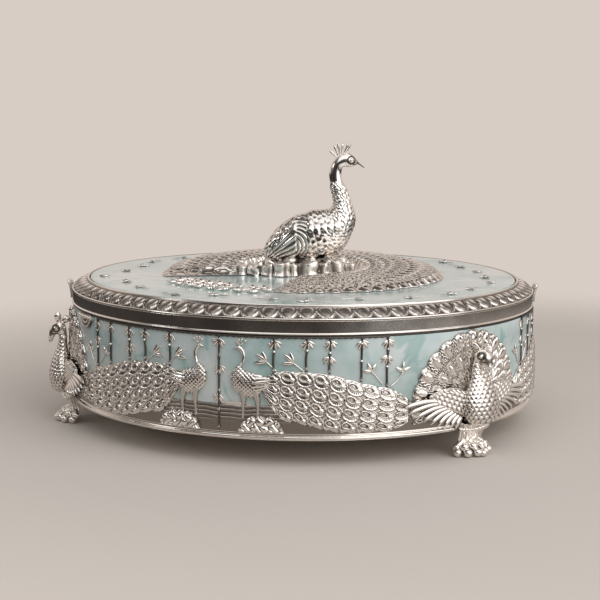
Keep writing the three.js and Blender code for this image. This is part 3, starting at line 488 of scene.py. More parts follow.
def eye_feather(a, b):
    """A train feather: a shell that climbs to a U-shaped rim, with a sunk eye and a bead on it.

    Each part is an ellipse round its own middle. Rim and shell are strongest
    at the lower far side. The eye is a pit in a raised ring.
    """
    far = np.hypot((a - 0.9) / 4.9, (b - 0.6) / 4.0)
    strong = np.clip(0.5 + 0.5 * (0.75 * a / 4.9 + 0.65 * b / 4.0), 0, 1)
    shell = (0.1 + 0.6 * strong) * edge_ramp(1 - far, 7)
    rim = (0.3 + 0.95 * strong) * ridge(far - 0.91, 0.075)
    bead = 1.05 * half_ball((a - 3.0) / 1.1, (b - 1.0) / 1.3)
    barbs = 0.05 * np.cos(16 * np.arctan2(b - 0.6, a - 0.9)) * (far < 0.84)
    eye = np.hypot((0.94 * a + 0.34 * b + 0.5) / 2.6, (0.94 * b - 0.34 * a + 0.2) / 1.6)
    ring = 1.1 * ridge(eye - 1.0, 0.2)
    pupil = 0.4 * half_ball(eye / 0.62) - 0.35
    whole = np.maximum.reduce([shell + barbs, rim, bead, ring])
    return np.where(eye < 0.85, np.maximum(pupil, ring), whole)


print("height of an eye feather at its middle and its bead, mm:",
      [round(float(eye_feather(a, b)), 2) for a, b in ((0, 0), (3, 1))])

# %% [markdown]
# ## Limbs and castings
# Necks, legs, leaves and stems are limbs: circles or ellipses carried along
# a spline. A bird's body is wider than that allows, so it runs between two
# outlines seen from the side. Flat castings are a front grid that is closed
# behind. Blender's curves could make limbs, but not with scales on them.

# %% Limbs, bodies and patches
def limb(points, radii, flat=1.0, side=(0, 1, 0), steps=24, around=12, relief=None):
    """A closed tube along a spline through the points.

    Each section is an ellipse: its radius up, and flat times that radius to
    the side. A relief is a function of the distance along and the angle.
    """
    keys = np.column_stack([points, radii])
    line = splined(keys, steps)
    ahead = np.gradient(line[:, :3], axis=0)
    ahead /= np.linalg.norm(ahead, axis=1, keepdims=True)
    up = np.cross(ahead, np.broadcast_to(side, ahead.shape))
    up /= np.linalg.norm(up, axis=1, keepdims=True)
    across = np.cross(up, ahead)
    angle = np.linspace(0, 2 * np.pi, around, endpoint=False)
    radius = np.repeat(line[:, 3:4], around, 1)
    if relief is not None:
        radius = radius + relief(run_of(line[:, :3])[:, None], angle[None, :])
    ring = radius[..., None] * (np.cos(angle)[None, :, None] * up[:, None]
                                + flat * np.sin(angle)[None, :, None] * across[:, None])
    return line[:, None, :3] + ring


def run_of(line):
    """Distance along a line of points, from its first point to each."""
    return np.concatenate([[0], np.cumsum(np.linalg.norm(np.diff(line, axis=0), axis=1))])


def between(upper, lower, widths, steps, around, bulge=1.0):
    """A closed tube whose sections are ellipses between two outlines of the XZ plane.

    The middle is the mean of the two outline points, one half axis is half
    their difference, and the other is the width, along Y.
    """
    keys = splined(np.column_stack([upper, lower, widths]), steps)
    middle = (keys[:, 0:2] + keys[:, 2:4]) / 2
    half = (keys[:, 0:2] - keys[:, 2:4]) / 2
    angle = np.linspace(0, 2 * np.pi, around, endpoint=False)
    flat = middle[:, None] + np.cos(angle)[None, :, None] * half[:, None]
    out = keys[:, 4:5] * np.sign(np.sin(angle)) * np.abs(np.sin(angle)) ** bulge
    return np.stack([flat[..., 0], out, flat[..., 1]], -1)


def height_patch(place, front, seat, tarnish_and_painted_shade):
    """A closed casting: a front grid, closed behind by its first and last rows moved to the seat.

    place maps (first, second, proud) to space; front holds those three grids.
    """
    rows = [np.concatenate([g[:, :1], g, g[:, -1:]], 1) for g in np.broadcast_arrays(*front)]
    rows[2][:, 0] = rows[2][:, -1] = seat
    depth = np.pad(tarnish_and_painted_shade, ((0, 0), (1, 1)))
    return tube(place(*rows), depth)


def on_wall_at(turn, side=1):
    """The place function of a flat casting on the wall."""
    return lambda along, height, proud: wrapped(along, height, proud, turn, side)


print("sections of a straight limb:", limb([(0, 0, 0), (0, 0, 9)], [1, 1]).shape)

# %% [markdown]
# ## Spun shell
# The wall, the lid and its band are sheet metal spun on a lathe. Blender's
# Screw modifier could spin them, but the grid of a profile at each bearing
# is as short, and it lets the profile carry its own tarnish. Below the
# enamel the wall is bare, with a few level lines chased in it like water.

# %% Profiles
def crisp(profile):
    """Adds a point 0.12 mm from both ends of every side over 0.4 mm, so corners look sharp."""
    rows = np.asarray(profile, float)
    side = np.roll(rows, -1, 0) - rows
    span = np.linalg.norm(side, axis=1, keepdims=True)
    step = side * 0.12 / np.maximum(span, 0.4)
    wide = span[:, 0] > 0.4
    keep = np.stack([np.ones_like(wide), wide, wide], 1)
    return np.stack([rows, rows + step, rows + side - step], 1)[keep]


def turned(profile, steps=360):
    """Sections of a ring: the closed profile of (radius, height) at each bearing."""
    profile = crisp(profile)
    bearing = np.linspace(0, 2 * np.pi, steps, endpoint=False)[:, None]
    return np.stack([profile[:, 0] * np.cos(bearing), profile[:, 0] * np.sin(bearing),
                     profile[:, 1] + 0 * bearing], -1)


def beaded(radius, low, high, turns=7):
    """Profile points of a half-round bead on an upright face, between two heights."""
    angle = np.linspace(-np.pi / 2, np.pi / 2, turns)
    half = (high - low) / 2
    return [(radius + half * math.cos(a), (low + high) / 2 + half * math.sin(a)) for a in angle]


print("points of a square profile made crisp:", len(crisp([(0, 0), (9, 0), (9, 9), (0, 9)])))

# %% Wall and lid shell
CHASED_PITCH = 2.2


def chased_ground(turn):
    """Fine level lines chased in the upper part of the bare ground, which is left dark.

    The lines lie where z + small waves along the wall is a multiple of the
    pitch, and each stands up as exp(-(distance / width)^2).
    """
    along = np.linspace(-142, 142, 300)[:, None]
    height = np.linspace(3.7, 18.5, 48)[None, :] + 0 * along
    wave = height + 0.35 * np.sin(along / 6.3) + 0.22 * np.sin(along / 2.4 + 2)
    upper = np.clip((height - 9.5) / 2.5, 0, 1)
    lines = upper * ridge(np.mod(wave, CHASED_PITCH) - CHASED_PITCH / 2, 0.24)
    return height_patch(on_wall_at(turn), [along, height, 0.12 + 0.3 * lines], 0.02, 0.4 - 0.4 * lines)


wall_profile = [
    (141.3, 0.0), (144.4, 0.0), *beaded(144.0, 0.3, 2.2), (144.2, 2.8), (WALL, 3.4),
    (WALL, 18.7), (143.2, 18.7), (143.2, 57.2), (WALL, 57.2), (WALL, 58.0), (138.6, 58.0),
    (138.6, 63.6), (138.2, 64.0), (137.0, 64.0), (136.6, 63.6), (136.6, 56.5), (141.5, 56.5),
    (141.5, 3.0), (135.8, 3.0), (135.8, 1.5), (141.3, 1.5),
]
wall_ring = turned(wall_profile)
# A band of painted shadow on the wall's top ring, in the gap under the lid's band.
painted_gap_shadow = 0.75 * ((wall_ring[..., 2] > 56) & (wall_ring[..., 2] < 58.5))
wall_parts = [tube(wall_ring, painted_gap_shadow, ring=True)] + [chased_ground(k * THIRD) for k in range(3)]
piece("wall_shell_spun", wall_parts, SPUN, "base", "wall_shell")

lid_profile = [
    (2.3, 70.7), (132.7, 70.7), (139.3, 68.0), (139.3, 58.6), (139.6, 58.3), (144.2, 58.3),
    *beaded(144.3, 58.35, 59.35), (144.2, 59.5), (144.2, 66.0), (133.5, 72.2), (2.3, 72.2),
]
piece("lid_shell_spun", [tube(turned(lid_profile), ring=True)], SPUN, "lid", "lid_shell")

# %% [markdown]
# ## Enamel panels
# Enamel is ground glass that is melted into a shallow recess round the wall.
# A plain cylinder would do for it, were it not for its lower edge: that
# follows a hilly line, where the bare silver ground rises and falls. So each
# panel is a bent plate whose columns start at different heights.

# %% Enamel panels
PANEL_LOW, PANEL_HIGH = 19.0, 56.9


def enamel_panel(turn):
    """A bent plate: columns along the wall, each with a front and a back edge.

    The lower edge is two sine waves multiplied, up to 1.6 mm high.
    """
    along = np.linspace(-1, 1, 241) * (math.radians(60) * WALL - 0.3)
    low = PANEL_LOW + 0.8 * (1 + np.sin(along / 5.1)) * (1 + np.sin(along / 13.7 + 1)) / 2
    high = PANEL_HIGH + 0 * along
    proud = [-0.62, -0.15, -0.05, -0.05, -0.15, -0.62]
    height = [low, low, low + 0.25, high - 0.25, high, high]
    return tube(np.stack([wrapped(along, h, p, turn) for h, p in zip(height, proud)], 1))


for k in range(3):
    piece(f"enamel_{k + 1}", [enamel_panel(k * THIRD)], ENAMEL, "base", f"enamel_panel_{k + 1}")

# %% [markdown]
# ## Peafowl on the wall
# Each bird is cast in low relief with its train, and soldered to the wall.
# The train could be set with single feathers, but they would overlap at the
# crowded ends. As a height field over the wall, its rows of feather eyes
# close up there by themselves. The bird's body, neck and head are one tube
# between two measured outlines, flattened against the wall.

# %% Train
TRAIN_FROM, TRAIN_TO = 24.84, 106.9  # along the wall, from the middle of the panel
TRAIN_TOP = [34.9, 38.7, 38.6, 38.1, 37.0, 34.6, 31.9, 29.8, 27.4, 22.0]
TRAIN_LOW = [24.0, 12.0, 9.6, 7.3, 5.0, 3.9, 3.9, 3.9, 4.3, 8.0]
EYE_COLUMNS, EYE_ROWS, EYE_LEAN = 9, 4, 4.8
EYE_PITCH = (TRAIN_TO - TRAIN_FROM) / EYE_COLUMNS
ROW_PITCH = 7.4


def train(turn, side):
    """Nine columns by four rows of eye feathers on a low crown, deeper toward the lower edge.

    The columns lean: the place along the train is slid by
    EYE_LEAN (1 - share) sin(pi far), so a column bows toward the bird.
    """
    along = np.linspace(TRAIN_FROM, TRAIN_TO, 272)[:, None]
    share = np.linspace(0, 1, 98)[None, :]
    far = (along - TRAIN_FROM) / (TRAIN_TO - TRAIN_FROM)
    ends = splined(np.column_stack([TRAIN_LOW, TRAIN_TOP]), len(along))
    notch = 1.1 * (1 - np.abs(np.sin(np.pi * (along - TRAIN_FROM) / EYE_PITCH)) ** 0.6)
    low, high = ends[:, 0:1] + notch, ends[:, 1:2] - 0.7 * notch
    height = low + share * (high - low)
    column = (along - TRAIN_FROM + EYE_LEAN * (1 - share) * np.sin(np.pi * far)) / EYE_PITCH
    row = (1 - share) * EYE_ROWS
    relief = grid_cells(column, row, lambda a, b: eye_feather(EYE_PITCH * a, ROW_PITCH * b))
    relief = (1.5 - 0.5 * share) * relief
    crown = 0.7 * (1 - (2 * share - 1) ** 4)
    edge = edge_ramp(from_ends(share), 22) * edge_ramp(from_ends(along, TRAIN_FROM, TRAIN_TO), 1 / 1.5)
    proud = np.maximum(0.3 + (0.55 + crown + relief) * edge, 0.3)
    return height_patch(on_wall_at(turn, side), [along, height, proud], 0.2, hollows(relief, 0.75))


print("eyes on one train:", EYE_COLUMNS * EYE_ROWS, "each", round(EYE_PITCH, 1), "mm along the wall")

# %% Body of the bird on the wall
HEN_UPPER = [(31, 33.8), (26, 35.2), (21, 36.4), (17, 37.2), (14.2, 38.2), (13.1, 39.8), (13.6, 41.6),
             (14.8, 43.6), (15.1, 45.6), (14.9, 47.6), (14.2, 49.6), (12.9, 51.2), (11.4, 51.9),
             (10.2, 51.5), (9.2, 50.7), (7.9, 49.9)]
HEN_LOWER = [(30.5, 31.8), (25.2, 28), (20.2, 24), (14.6, 24.4), (9.6, 27.6), (7.4, 33), (8.8, 38.2),
             (11.4, 40.8), (12.9, 43.6), (13.1, 45.7), (12.9, 47.2), (12.3, 48.7), (11.5, 49.7),
             (10.5, 50.1), (9.2, 50.2), (7.9, 49.8)]
HEN_WIDTH = [0.8, 1.8, 2.45, 2.6, 2.5, 2.2, 1.8, 1.3, 1.1, 1.05, 1.05, 1.1, 1.25, 1.1, 0.6, 0.2]
SCALE_PITCH, BAR_PITCH = 2.3, 1.9


def on_wall(shape, turn, side, lift=0.4):
    """Wraps a shape drawn in x, z with its depth along -y; nothing sinks into the wall."""
    proud = np.maximum(lift - shape[..., 1], 0.2)
    return wrapped(shape[..., 0], shape[..., 2], proud, turn, side)


def hen_body():
    """Ellipses between the outlines, with diamond scales on the body and level bars on the folded wing.

    The scales are |sin u sin v| ^ 0.5 over two slanting distances, so thin
    grooves cross between them; the grooves are painted dark as shade.
    """
    shape = between(HEN_UPPER, HEN_LOWER, HEN_WIDTH, 156, 78)
    x, z = shape[..., 0], shape[..., 2]
    scales = np.abs(np.sin(np.pi * (x + z) / SCALE_PITCH) * np.sin(np.pi * (x - z) / SCALE_PITCH)) ** 0.5
    bars = np.abs(np.sin(np.pi * (z - 0.12 * x) / BAR_PITCH)) ** 0.5
    body = np.clip((42 - z) / 2, 0, 1)
    wing = np.clip((x - 19.5) / 1.5, 0, 1) * body
    height = (0.6 * scales * (1 - wing) + 0.5 * bars * wing) * body
    # Painted shade in the grooves between the scales and between the bars.
    groove = 0.8 * np.clip(1 - 1.8 * np.where(wing > 0.5, bars, scales), 0, 1) * body
    return raised(shape, height), groove


print("a wall bird's body, points:", hen_body()[1].size)

# %% Crest, legs and rocks of the bird on the wall
HEN_LEGS = [([(13.6, 0, 27.5), (14.2, 0, 22.5), (14.0, 0, 17), (13.6, 0, 11.5)], [2.4, 1.4, 0.75, 0.7]),
            ([(20.2, 0, 27.5), (22.0, 0, 22), (22.2, 0, 17), (21.8, 0, 11.5)], [2.6, 1.5, 0.75, 0.7])]
CREST_ROOT = (11.8, 0, 51.6)
HEN_CREST = [(9.9, 0, 54.6), (11.4, 0, 55.8), (13.4, 0, 56.0), (15.6, 0, 55.0)]
ROCKS_FROM, ROCKS_TO, ROCKS_LOW = 11.0, 37.0, 3.9


def crest_stems(root, tips, radius, leaf):
    """Thin stems from one root, each with a small leaf at its tip."""
    root = np.array(root, float)
    stems = []
    for tip in np.array(tips, float):
        bend = root + (tip - root) * 0.55
        near = tip - (tip - root) * 0.16
        stems.append(limb([root, bend, near, tip], [radius, radius, leaf, radius * 0.4], steps=14, around=8))
    return stems


def down(far, angle):
    """Soft down on the upper 9 mm of a leg: |sin| ribs along it times |sin| ribs round it."""
    return 0.25 * np.abs(np.sin(far * 2.6) * np.sin(angle * 4)) * (far < 9)


def rocks(turn, side):
    """A clump of cloud-like stones under the feet: a brick lattice of wide domes, with a scalloped top."""
    along = np.linspace(ROCKS_FROM, ROCKS_TO, 92)[:, None]
    share = np.linspace(0, 1, 44)[None, :]
    bow = np.clip(1 - ((along - 24) / 13.0) ** 4, 0, 1)
    top = 4.2 + (8.0 + 1.6 * np.abs(np.sin(np.pi * along / 5.2))) * bow
    height = ROCKS_LOW + share * (top - ROCKS_LOW)
    swayed = height + 0.7 * np.sin(along * 0.8), along + 0.6 * np.sin(height)
    relief = 2.2 * lattice(*swayed, 3.3, 5.2, bead_cell(2.75))
    edge = edge_ramp(from_ends(share), 8) * edge_ramp(from_ends(along, ROCKS_FROM, ROCKS_TO), 1 / 1.5)
    front = [along, height, 0.3 + (0.5 + relief) * edge]
    return height_patch(on_wall_at(turn, side), front, 0.2, hollows(relief, 0.5, 6))


def wall_bird(turn, side):
    """Train, rocks, body, two legs and the crest. On the left, side is -1 and turns all round."""
    body, depth = hen_body()
    parts = [train(turn, side), rocks(turn, side), tube(on_wall(body, turn, side), depth)]
    for points, radii in HEN_LEGS:
        leg = limb(points, radii, steps=40, around=20, relief=down)
        parts.append(tube(on_wall(leg, turn, side, 0.6), np.full(leg.shape[:2], 0.22)))
    stems = crest_stems(CREST_ROOT, HEN_CREST, 0.24, 0.55)
    parts += [tube(on_wall(stem, turn, side, 0.6)) for stem in stems]
    return parts


for k in range(3):
    for side, word in ((-1, "left"), (1, "right")):
        piece(f"peafowl_{word}_{k + 1}", wall_bird(k * THIRD, side), CAST, "base",
              f"wall_peacock_{word}_{k + 1}")

# %% [markdown]
# ## Bamboo
# Thin stems run from under the lid down to the trains. A stem could be a
# plain wire, but it is the joints that say bamboo, so each stem swells at
# even steps and stays tarnished between them. Sprays of five hanging leaves
# and sprigs of three broad ones are small flat limbs.

# %% Leaves and stems
TARNISHED = 0.72  # hollow of the stems between their joints
STEM_STEPS, JOINT_PITCH = 90, 9.5


def train_top(along):
    """Height of the train's upper edge, between the measured ones."""
    return float(np.interp(abs(along), np.linspace(TRAIN_FROM, TRAIN_TO, len(TRAIN_TOP)), TRAIN_TOP))


def blade(root, tip, width, lift=0.5):
    """A leaf: a flat limb that swells from its root and ends in a point."""
    root, tip = np.array([root[0], 0, root[1]]), np.array([tip[0], 0, tip[1]])
    points = [root, root + (tip - root) * 0.3, root + (tip - root) * 0.65, tip]
    return limb(points, [0.15 * width, 0.5 * width, 0.44 * width, 0.04 * width],
                flat=lift / (0.5 * width), steps=10, around=10)


def spray(x, z, size, lean=0.0):
    """Five leaves that hang from one point and fan out downward."""
    angles = np.radians(np.array([-58, -30, 2, 32, 60]) + lean)
    lengths = np.array([0.85, 1.0, 0.9, 1.0, 0.85]) * size
    return [blade((x, z), (x + n * math.sin(a), z - n * math.cos(a)), 0.3 * size)
            for a, n in zip(angles, lengths)]


def joint(far, width):
    """One at a joint of the bamboo, every 9.5 mm, and nought between."""
    return ridge(np.mod(far + 3, JOINT_PITCH) - 4.7, width)


def stem(along, low, high):
    """A thin, slightly bent rod with a swelling at every joint, and how tarnished it is between them."""
    sway = 0.35 * math.sin(along)
    points = [(along, 0, low), (along + sway, 0, low * 0.65 + high * 0.35),
              (along - sway, 0, low * 0.3 + high * 0.7), (along, 0, high)]
    shape = limb(points, [0.6, 0.6, 0.6, 0.65], steps=STEM_STEPS, around=8,
                 relief=lambda far, angle: 0.38 * joint(far, 0.6) + 0 * angle)
    far = np.linspace(0, high - low, STEM_STEPS)[:, None]
    return shape, TARNISHED * (1 - joint(far, 0.7)) + np.zeros(shape.shape[:2])


# %% Bamboo
STEM_BEARINGS = [0, 12.2, 19.3, 24.3, 31.3, 37.2]  # degrees to either side of the panel's middle
LEAFY_BEARINGS = (37.2, 24.3)  # these stems have a second spray
RAIL_END = 37.6
HANDS = [((26.6, 43.6), (32.2, 38.4), [(19.4, 42.4), (20.8, 47.8), (24.2, 49.4)]),
         ((41.5, 43.0), (47.2, 38.6), [(34.6, 42.6), (36.4, 48.0), (39.6, 49.2)]),
         ((84.3, 38.0), (90.6, 30.8), [(79.4, 38.4), (82.0, 43.0), (87.0, 42.2)]),
         ((102.9, 37.0), (95.5, 29.1), [(98.6, 39.6), (103.4, 42.8), (107.6, 39.4)])]
# Profile of the rail: height, how proud, and its share of the scallops' drop.
RAIL = [(57.0, 0.3, 1), (56.9, 0.6, 1), (57.1, 0.8, 0.5), (57.4, 0.8, 0), (57.6, 0.6, 0), (57.6, 0.3, 0)]


def hand(hub, foot, tips, way):
    """A sprig: a bent stalk from its foot to a hub, and leaves from the hub."""
    hub, foot = (hub[0] * way, hub[1]), (foot[0] * way, foot[1])
    bend = ((hub[0] + foot[0]) / 2 + 0.6 * way, 0, (hub[1] + foot[1]) / 2 - 0.5)
    stalk = limb([(foot[0], 0, foot[1]), bend, (hub[0], 0, hub[1])], [0.4, 0.34, 0.4], steps=14, around=8)
    return [stalk] + [blade(hub, (x * way, z), 2.1) for x, z in tips]


def rail(turn):
    """A thin rail along the wall's upper edge whose lower edge drops as |sin| ^ 0.7, every 3.4 mm."""
    along = np.linspace(-RAIL_END, RAIL_END, 361) * degrees * WALL
    drop = 0.5 * np.abs(np.sin(np.pi * along / 3.4)) ** 0.7
    shape = np.stack([wrapped(along, z - share * drop, p, turn) for z, p, share in RAIL], 1)
    # The whole rail is painted 0.75 dark, as painted shade under the lid's band.
    return tube(shape, np.full(shape.shape[:2], 0.75))


def bamboo(turn):
    """Stems with sprays, sprigs over the trains, and the rail."""
    shapes, parts = [], []
    for bearing in [*STEM_BEARINGS, *[-b for b in STEM_BEARINGS[1:]]]:
        along = bearing * degrees * WALL
        low = 5.0 if bearing == 0 else train_top(along) + 0.3
        rod, tarnished = stem(along, low, 57.2)
        parts.append(tube(on_wall(rod, turn, 1, 0.45), tarnished))
        lean = 10 if bearing > 0 else -10
        shapes += spray(along, 55.2, 5.6, lean)
        if abs(bearing) in LEAFY_BEARINGS:
            shapes += spray(along, 46.5, 5.6, -lean)
        if bearing == 0:
            shapes += spray(along, 40.0, 5.2, 12) + spray(along, 24.0, 4.8, -12)
    for hub, foot, tips in HANDS:
        for way in (-1, 1):
            shapes += hand(hub, foot, tips, way)
    parts += [tube(on_wall(shape, turn, 1, 0.45)) for shape in shapes]
    return parts + [rail(turn)]


for k in range(3):
    piece(f"bamboo_spray_{k + 1}", bamboo(k * THIRD), CAST, "base", f"bamboo_{k + 1}")

# %% [markdown]
# ## Fan tails behind the feet
# Behind each foot bird its spread tail lies flat on the wall, cast as one
# plate. Feathers could be laid over each other like roof tiles. A round
# height field looks the same with one skin: each feather is a low dome with a
# ribbed fringe, a lobe and a small ball, in rings about the root, and where
# two meet the higher one is kept.

# %% Rings of feathers
def feather_fan(reach, angle, ring, count, ribs, pearl):
    """Relief of a feathered fan, from the distance and angle.

    Rings lie ring apart and hold count feathers in a full turn. Each feather
    is a low dome with a fringe of fine ribs and a lobe in the middle. A pearl
    above nought is a small ball under the fringe, one below nought a pit.
    """
    wide = 2 * np.pi / count
    best = np.zeros(np.broadcast(reach, angle).shape)
    number = np.round(reach / ring)
    for step in (-1, 0, 1):
        row = number + step
        shift = np.mod(row, 2) / 2
        for side in (-1, 0, 1):
            column = np.round(angle / wide - shift) + side
            a = reach / ring - row + 0.45  # along the feather, in ring widths
            b = 2 * (angle / wide - column - shift)  # across it, in half widths
            inside = 1 - (a / 0.85) ** 2 - (b / 1.12) ** 2
            dome = (0.4 + 0.35 * np.sqrt(np.clip(inside, 0, 1)) + 0.3 * a) * edge_ramp(inside, 9)
            fringe = np.clip((0.62 - inside) * 6, 0, 1)
            rib = (0.5 * np.cos(np.arctan2(b, a + 0.9) * ribs) - 0.15) * fringe
            lobe = 0.5 * half_ball((a + 0.1) / 0.36, b / 0.45)
            ball = pearl * half_ball((a - 0.24) / 0.13, b / 0.18)
            feather = np.maximum(dome + rib + lobe + ball, 0.05)
            best = np.maximum(best, np.where(inside > 0, feather, 0))
    return best


print("height of a fan feather at its lobe:", feather_fan(np.array(16.1), 0.0, 10.75, 24, 40, 0.5).round(2))

# %% Fan tails
FAN_RADIUS, FAN_HEIGHT = 43.0, 14.0
FAN_RING, FAN_COUNT, FAN_RIBS = 10.75, 24, 40
FEET = [60 * degrees, 180 * degrees, 300 * degrees]


def fan_tail(turn):
    """Four rings of feathers on a dome of 1 - share^2, with an edge scalloped by |cos 12 a| ^ 0.5."""
    rays = np.linspace(-100, 100, 480)[:, None] * degrees
    share = np.linspace(0.04, 1, 98)[None, :]
    reach = FAN_RADIUS * share * (1 - 0.055 * (1 - np.abs(np.cos(rays * 12)) ** 0.5))
    relief = 1.35 * feather_fan(FAN_RADIUS * share, rays, FAN_RING, FAN_COUNT, FAN_RIBS, 0.5)
    proud = 0.4 + (0.9 * (1 - share ** 2) + 0.4 + relief) * edge_ramp(1 - share, 30)
    front = [reach * np.sin(rays), FAN_HEIGHT + reach * np.cos(rays), proud]
    return height_patch(on_wall_at(turn), front, 0.3, hollows(relief, 0.45))


for k, turn in enumerate(FEET):
    piece(f"fan_tail_feathers_{k + 1}", [fan_tail(turn)], CAST, "base", f"fan_tail_{k + 1}")

# %% [markdown]
# ## Foot peacocks
# The bird in front of each fan is cast in the round and carries the box. It
# could be built up from balls and cones, as a first sketch is, but their
# joins would show. So body, neck, head and beak are one tube between the back
# and the breast seen from the side, with scales raised on it. The wing is a
# scaled patch over nine flight feathers. One fluted leg stands under a ruff,
# on a paw of short toes with round knuckles.

# %% Body of the foot peacock
BIRD_BACK = [(147.6, 5.0), (147.0, 8.0), (146.8, 12.0), (146.8, 16.5), (147.0, 21.0), (147.7, 25.5),
             (148.5, 30.0), (148.8, 35.0), (148.6, 40.5), (149.4, 45.0), (152.4, 47.4), (156.0, 46.2),
             (158.2, 43.6), (159.0, 40.6), (159.2, 37.4), (158.8, 34.2)]
BIRD_FRONT = [(152.5, 3.8), (157.4, 6.0), (158.6, 10.5), (158.6, 16.0), (157.2, 21.8), (155.4, 27.0),
              (153.8, 31.4), (153.0, 35.4), (153.0, 37.8), (153.6, 38.9), (154.6, 39.2), (155.6, 38.8),
              (156.3, 37.9), (156.8, 36.9), (157.3, 35.7), (158.3, 34.2)]
BIRD_WIDTH = [5.0, 9.2, 11.4, 11.6, 10.0, 7.4, 5.7, 4.7, 4.3, 4.4, 4.6, 3.9, 2.8, 1.9, 1.1, 0.3]
BIRD_EYE = np.array([155.2, 3.4, 43.2])
THROAT, BEAK_GAP = 39.5, 39.9  # heights where the scales end and where the beak's halves meet


def out_from_axis(shape, turn):
    """Places a drawing whose x is the radius and whose y goes sideways round the wall."""
    return wrapped(shape[..., 1], shape[..., 2], shape[..., 0] - WALL, turn)


def skin_of(shape, widths):
    """Distance along a body to each section, and the mean of its half height and its width."""
    half = np.linalg.norm(shape[:, 0] - shape[:, shape.shape[1] // 2], axis=1)[:, None] / 2
    width = splined(np.array(widths)[:, None], len(shape))
    return run_of(shape.mean(1))[:, None], (half + width) / 2


def bird_body():
    """Ellipses between back and breast, with rows of scales up to the throat.

    The scales lie on a brick lattice over the length and the way round, which
    is the angle times the mean half width, so they keep their size. The
    socket, a ring round the eye, and the gape between the beak's halves are
    only painted shade. The lower front of the head is painted dark as a dark
    reflection.
    """
    shape = between(BIRD_BACK, BIRD_FRONT, BIRD_WIDTH, 200, 112, 0.9)
    radius, y, z = np.moveaxis(shape, -1, 0)
    length, mean = skin_of(shape, BIRD_WIDTH)
    girth = (np.linspace(0, 2 * np.pi, shape.shape[1], endpoint=False)[None, :] - np.pi) * mean
    scales = lattice(-length + 0 * girth, girth, 2.1, 2.7, scale_cell(1.6, 1.4))
    plain = np.clip((THROAT - z) / 1.5, 0, 1)
    height = 1.3 * scales * plain * np.clip(1.2 - z / 60, 0.5, 1)
    eye_reach = np.hypot(radius - BIRD_EYE[0], z - BIRD_EYE[2])
    # Painted shade round the eye and between the beak's halves, and a painted dark reflection on the lower
    # front of the head.
    painted_socket_shade = 0.9 * ridge(eye_reach - 1.9, 0.55) * (np.abs(y) > 1.5)
    painted_gape_shade = 0.8 * ridge(z - BEAK_GAP, 0.4) * (radius > 154)
    painted_head_reflection = 0.45 * (1 - plain) * np.clip((42.6 - z) / 1.5, 0, 1) * (np.abs(y) < 3)
    return raised(shape, height), np.maximum.reduce([hollows(height, 0.35, 5), painted_socket_shade, painted_gape_shade, painted_head_reflection])


print("a foot bird's body, points:", bird_body()[1].size)

# %% Wings of the foot peacock
WING_ROOT, WING_REACH = 3.5, 33  # from the middle of the bird to both ends of the patch
PRIMARY_ROOTS = [(27, 19.5), (26.2, 18.0), (24.6, 16.4), (22.8, 15.0), (20.8, 13.6), (18.8, 12.3),
                 (16.8, 11.0), (14.8, 9.8), (12.8, 8.6)]
PRIMARY_TIPS = [(48.5, 17.4), (46, 14.0), (42, 11.2), (37.6, 8.8), (33, 6.9), (28.6, 5.4),
                (24.4, 4.3), (20.4, 3.5), (16.6, 3.0)]


def wing_coverts(turn, side):
    """A bulging patch of large rounded scales, from a slanting lower edge to an arch of sin^0.8."""
    out = np.linspace(WING_ROOT, WING_REACH, 96)[:, None]
    share = np.linspace(0, 1, 66)[None, :]
    low = 5.6 + 0.44 * (out - WING_ROOT)
    high = 20 + 6.0 * np.sin(np.pi * np.clip((out - 3) / 34, 0, 1)) ** 0.8
    height = low + share * (high - low)
    relief = 1.9 * lattice(0.38 * out - height, out, 2.7, 3.3, scale_cell(2.1, 1.75))
    edge = edge_ramp(from_ends(share), 7) * edge_ramp(from_ends(out, WING_ROOT, WING_REACH), 1 / 3)
    front = [side * out, height, 4.6 + (1.9 + relief) * edge - 0.03 * out]
    return height_patch(on_wall_at(turn), front, 4.4, hollows(relief, 0.5, 5))


def flight_feather(root, tip, side):
    """A long leaf that widens toward a rounded tip, with a painted shadow along the edge under its neighbour.

    The painted shadow is 0.8 times the depth below the leaf's middle, less 0.2.
    """
    root, tip = np.array([side * root[0], 0, root[1]]), np.array([side * tip[0], 0, tip[1]])
    droop = np.array([0, 0, 1.2])
    points = [root, root + (tip - root) * 0.4 + droop, root + (tip - root) * 0.8 + droop * 0.8, tip]
    line = limb(points, [1.2, 1.4, 1.3, 0.35], flat=0.8, steps=26, around=18)
    height = line[..., 2] - line[..., 2].mean(1, keepdims=True)
    # The painted shadow along the edge under the neighbouring feather.
    return line, np.clip(-0.8 * height - 0.2, 0, 0.9)


def wing(turn, side):
    """The coverts, and flight feathers that stand 0.1 mm prouder each from the tip inward."""
    parts = [wing_coverts(turn, side)]
    for number, (root, tip) in enumerate(zip(PRIMARY_ROOTS, PRIMARY_TIPS)):
        feather, edge = flight_feather(root, tip, side)
        # Each feather carries its painted shadow under its neighbour.
        parts.append(tube(on_wall(feather, turn, 1, 5.4 + 0.1 * number), edge))
    return parts


print("flight feathers on each wing:", len(PRIMARY_TIPS))

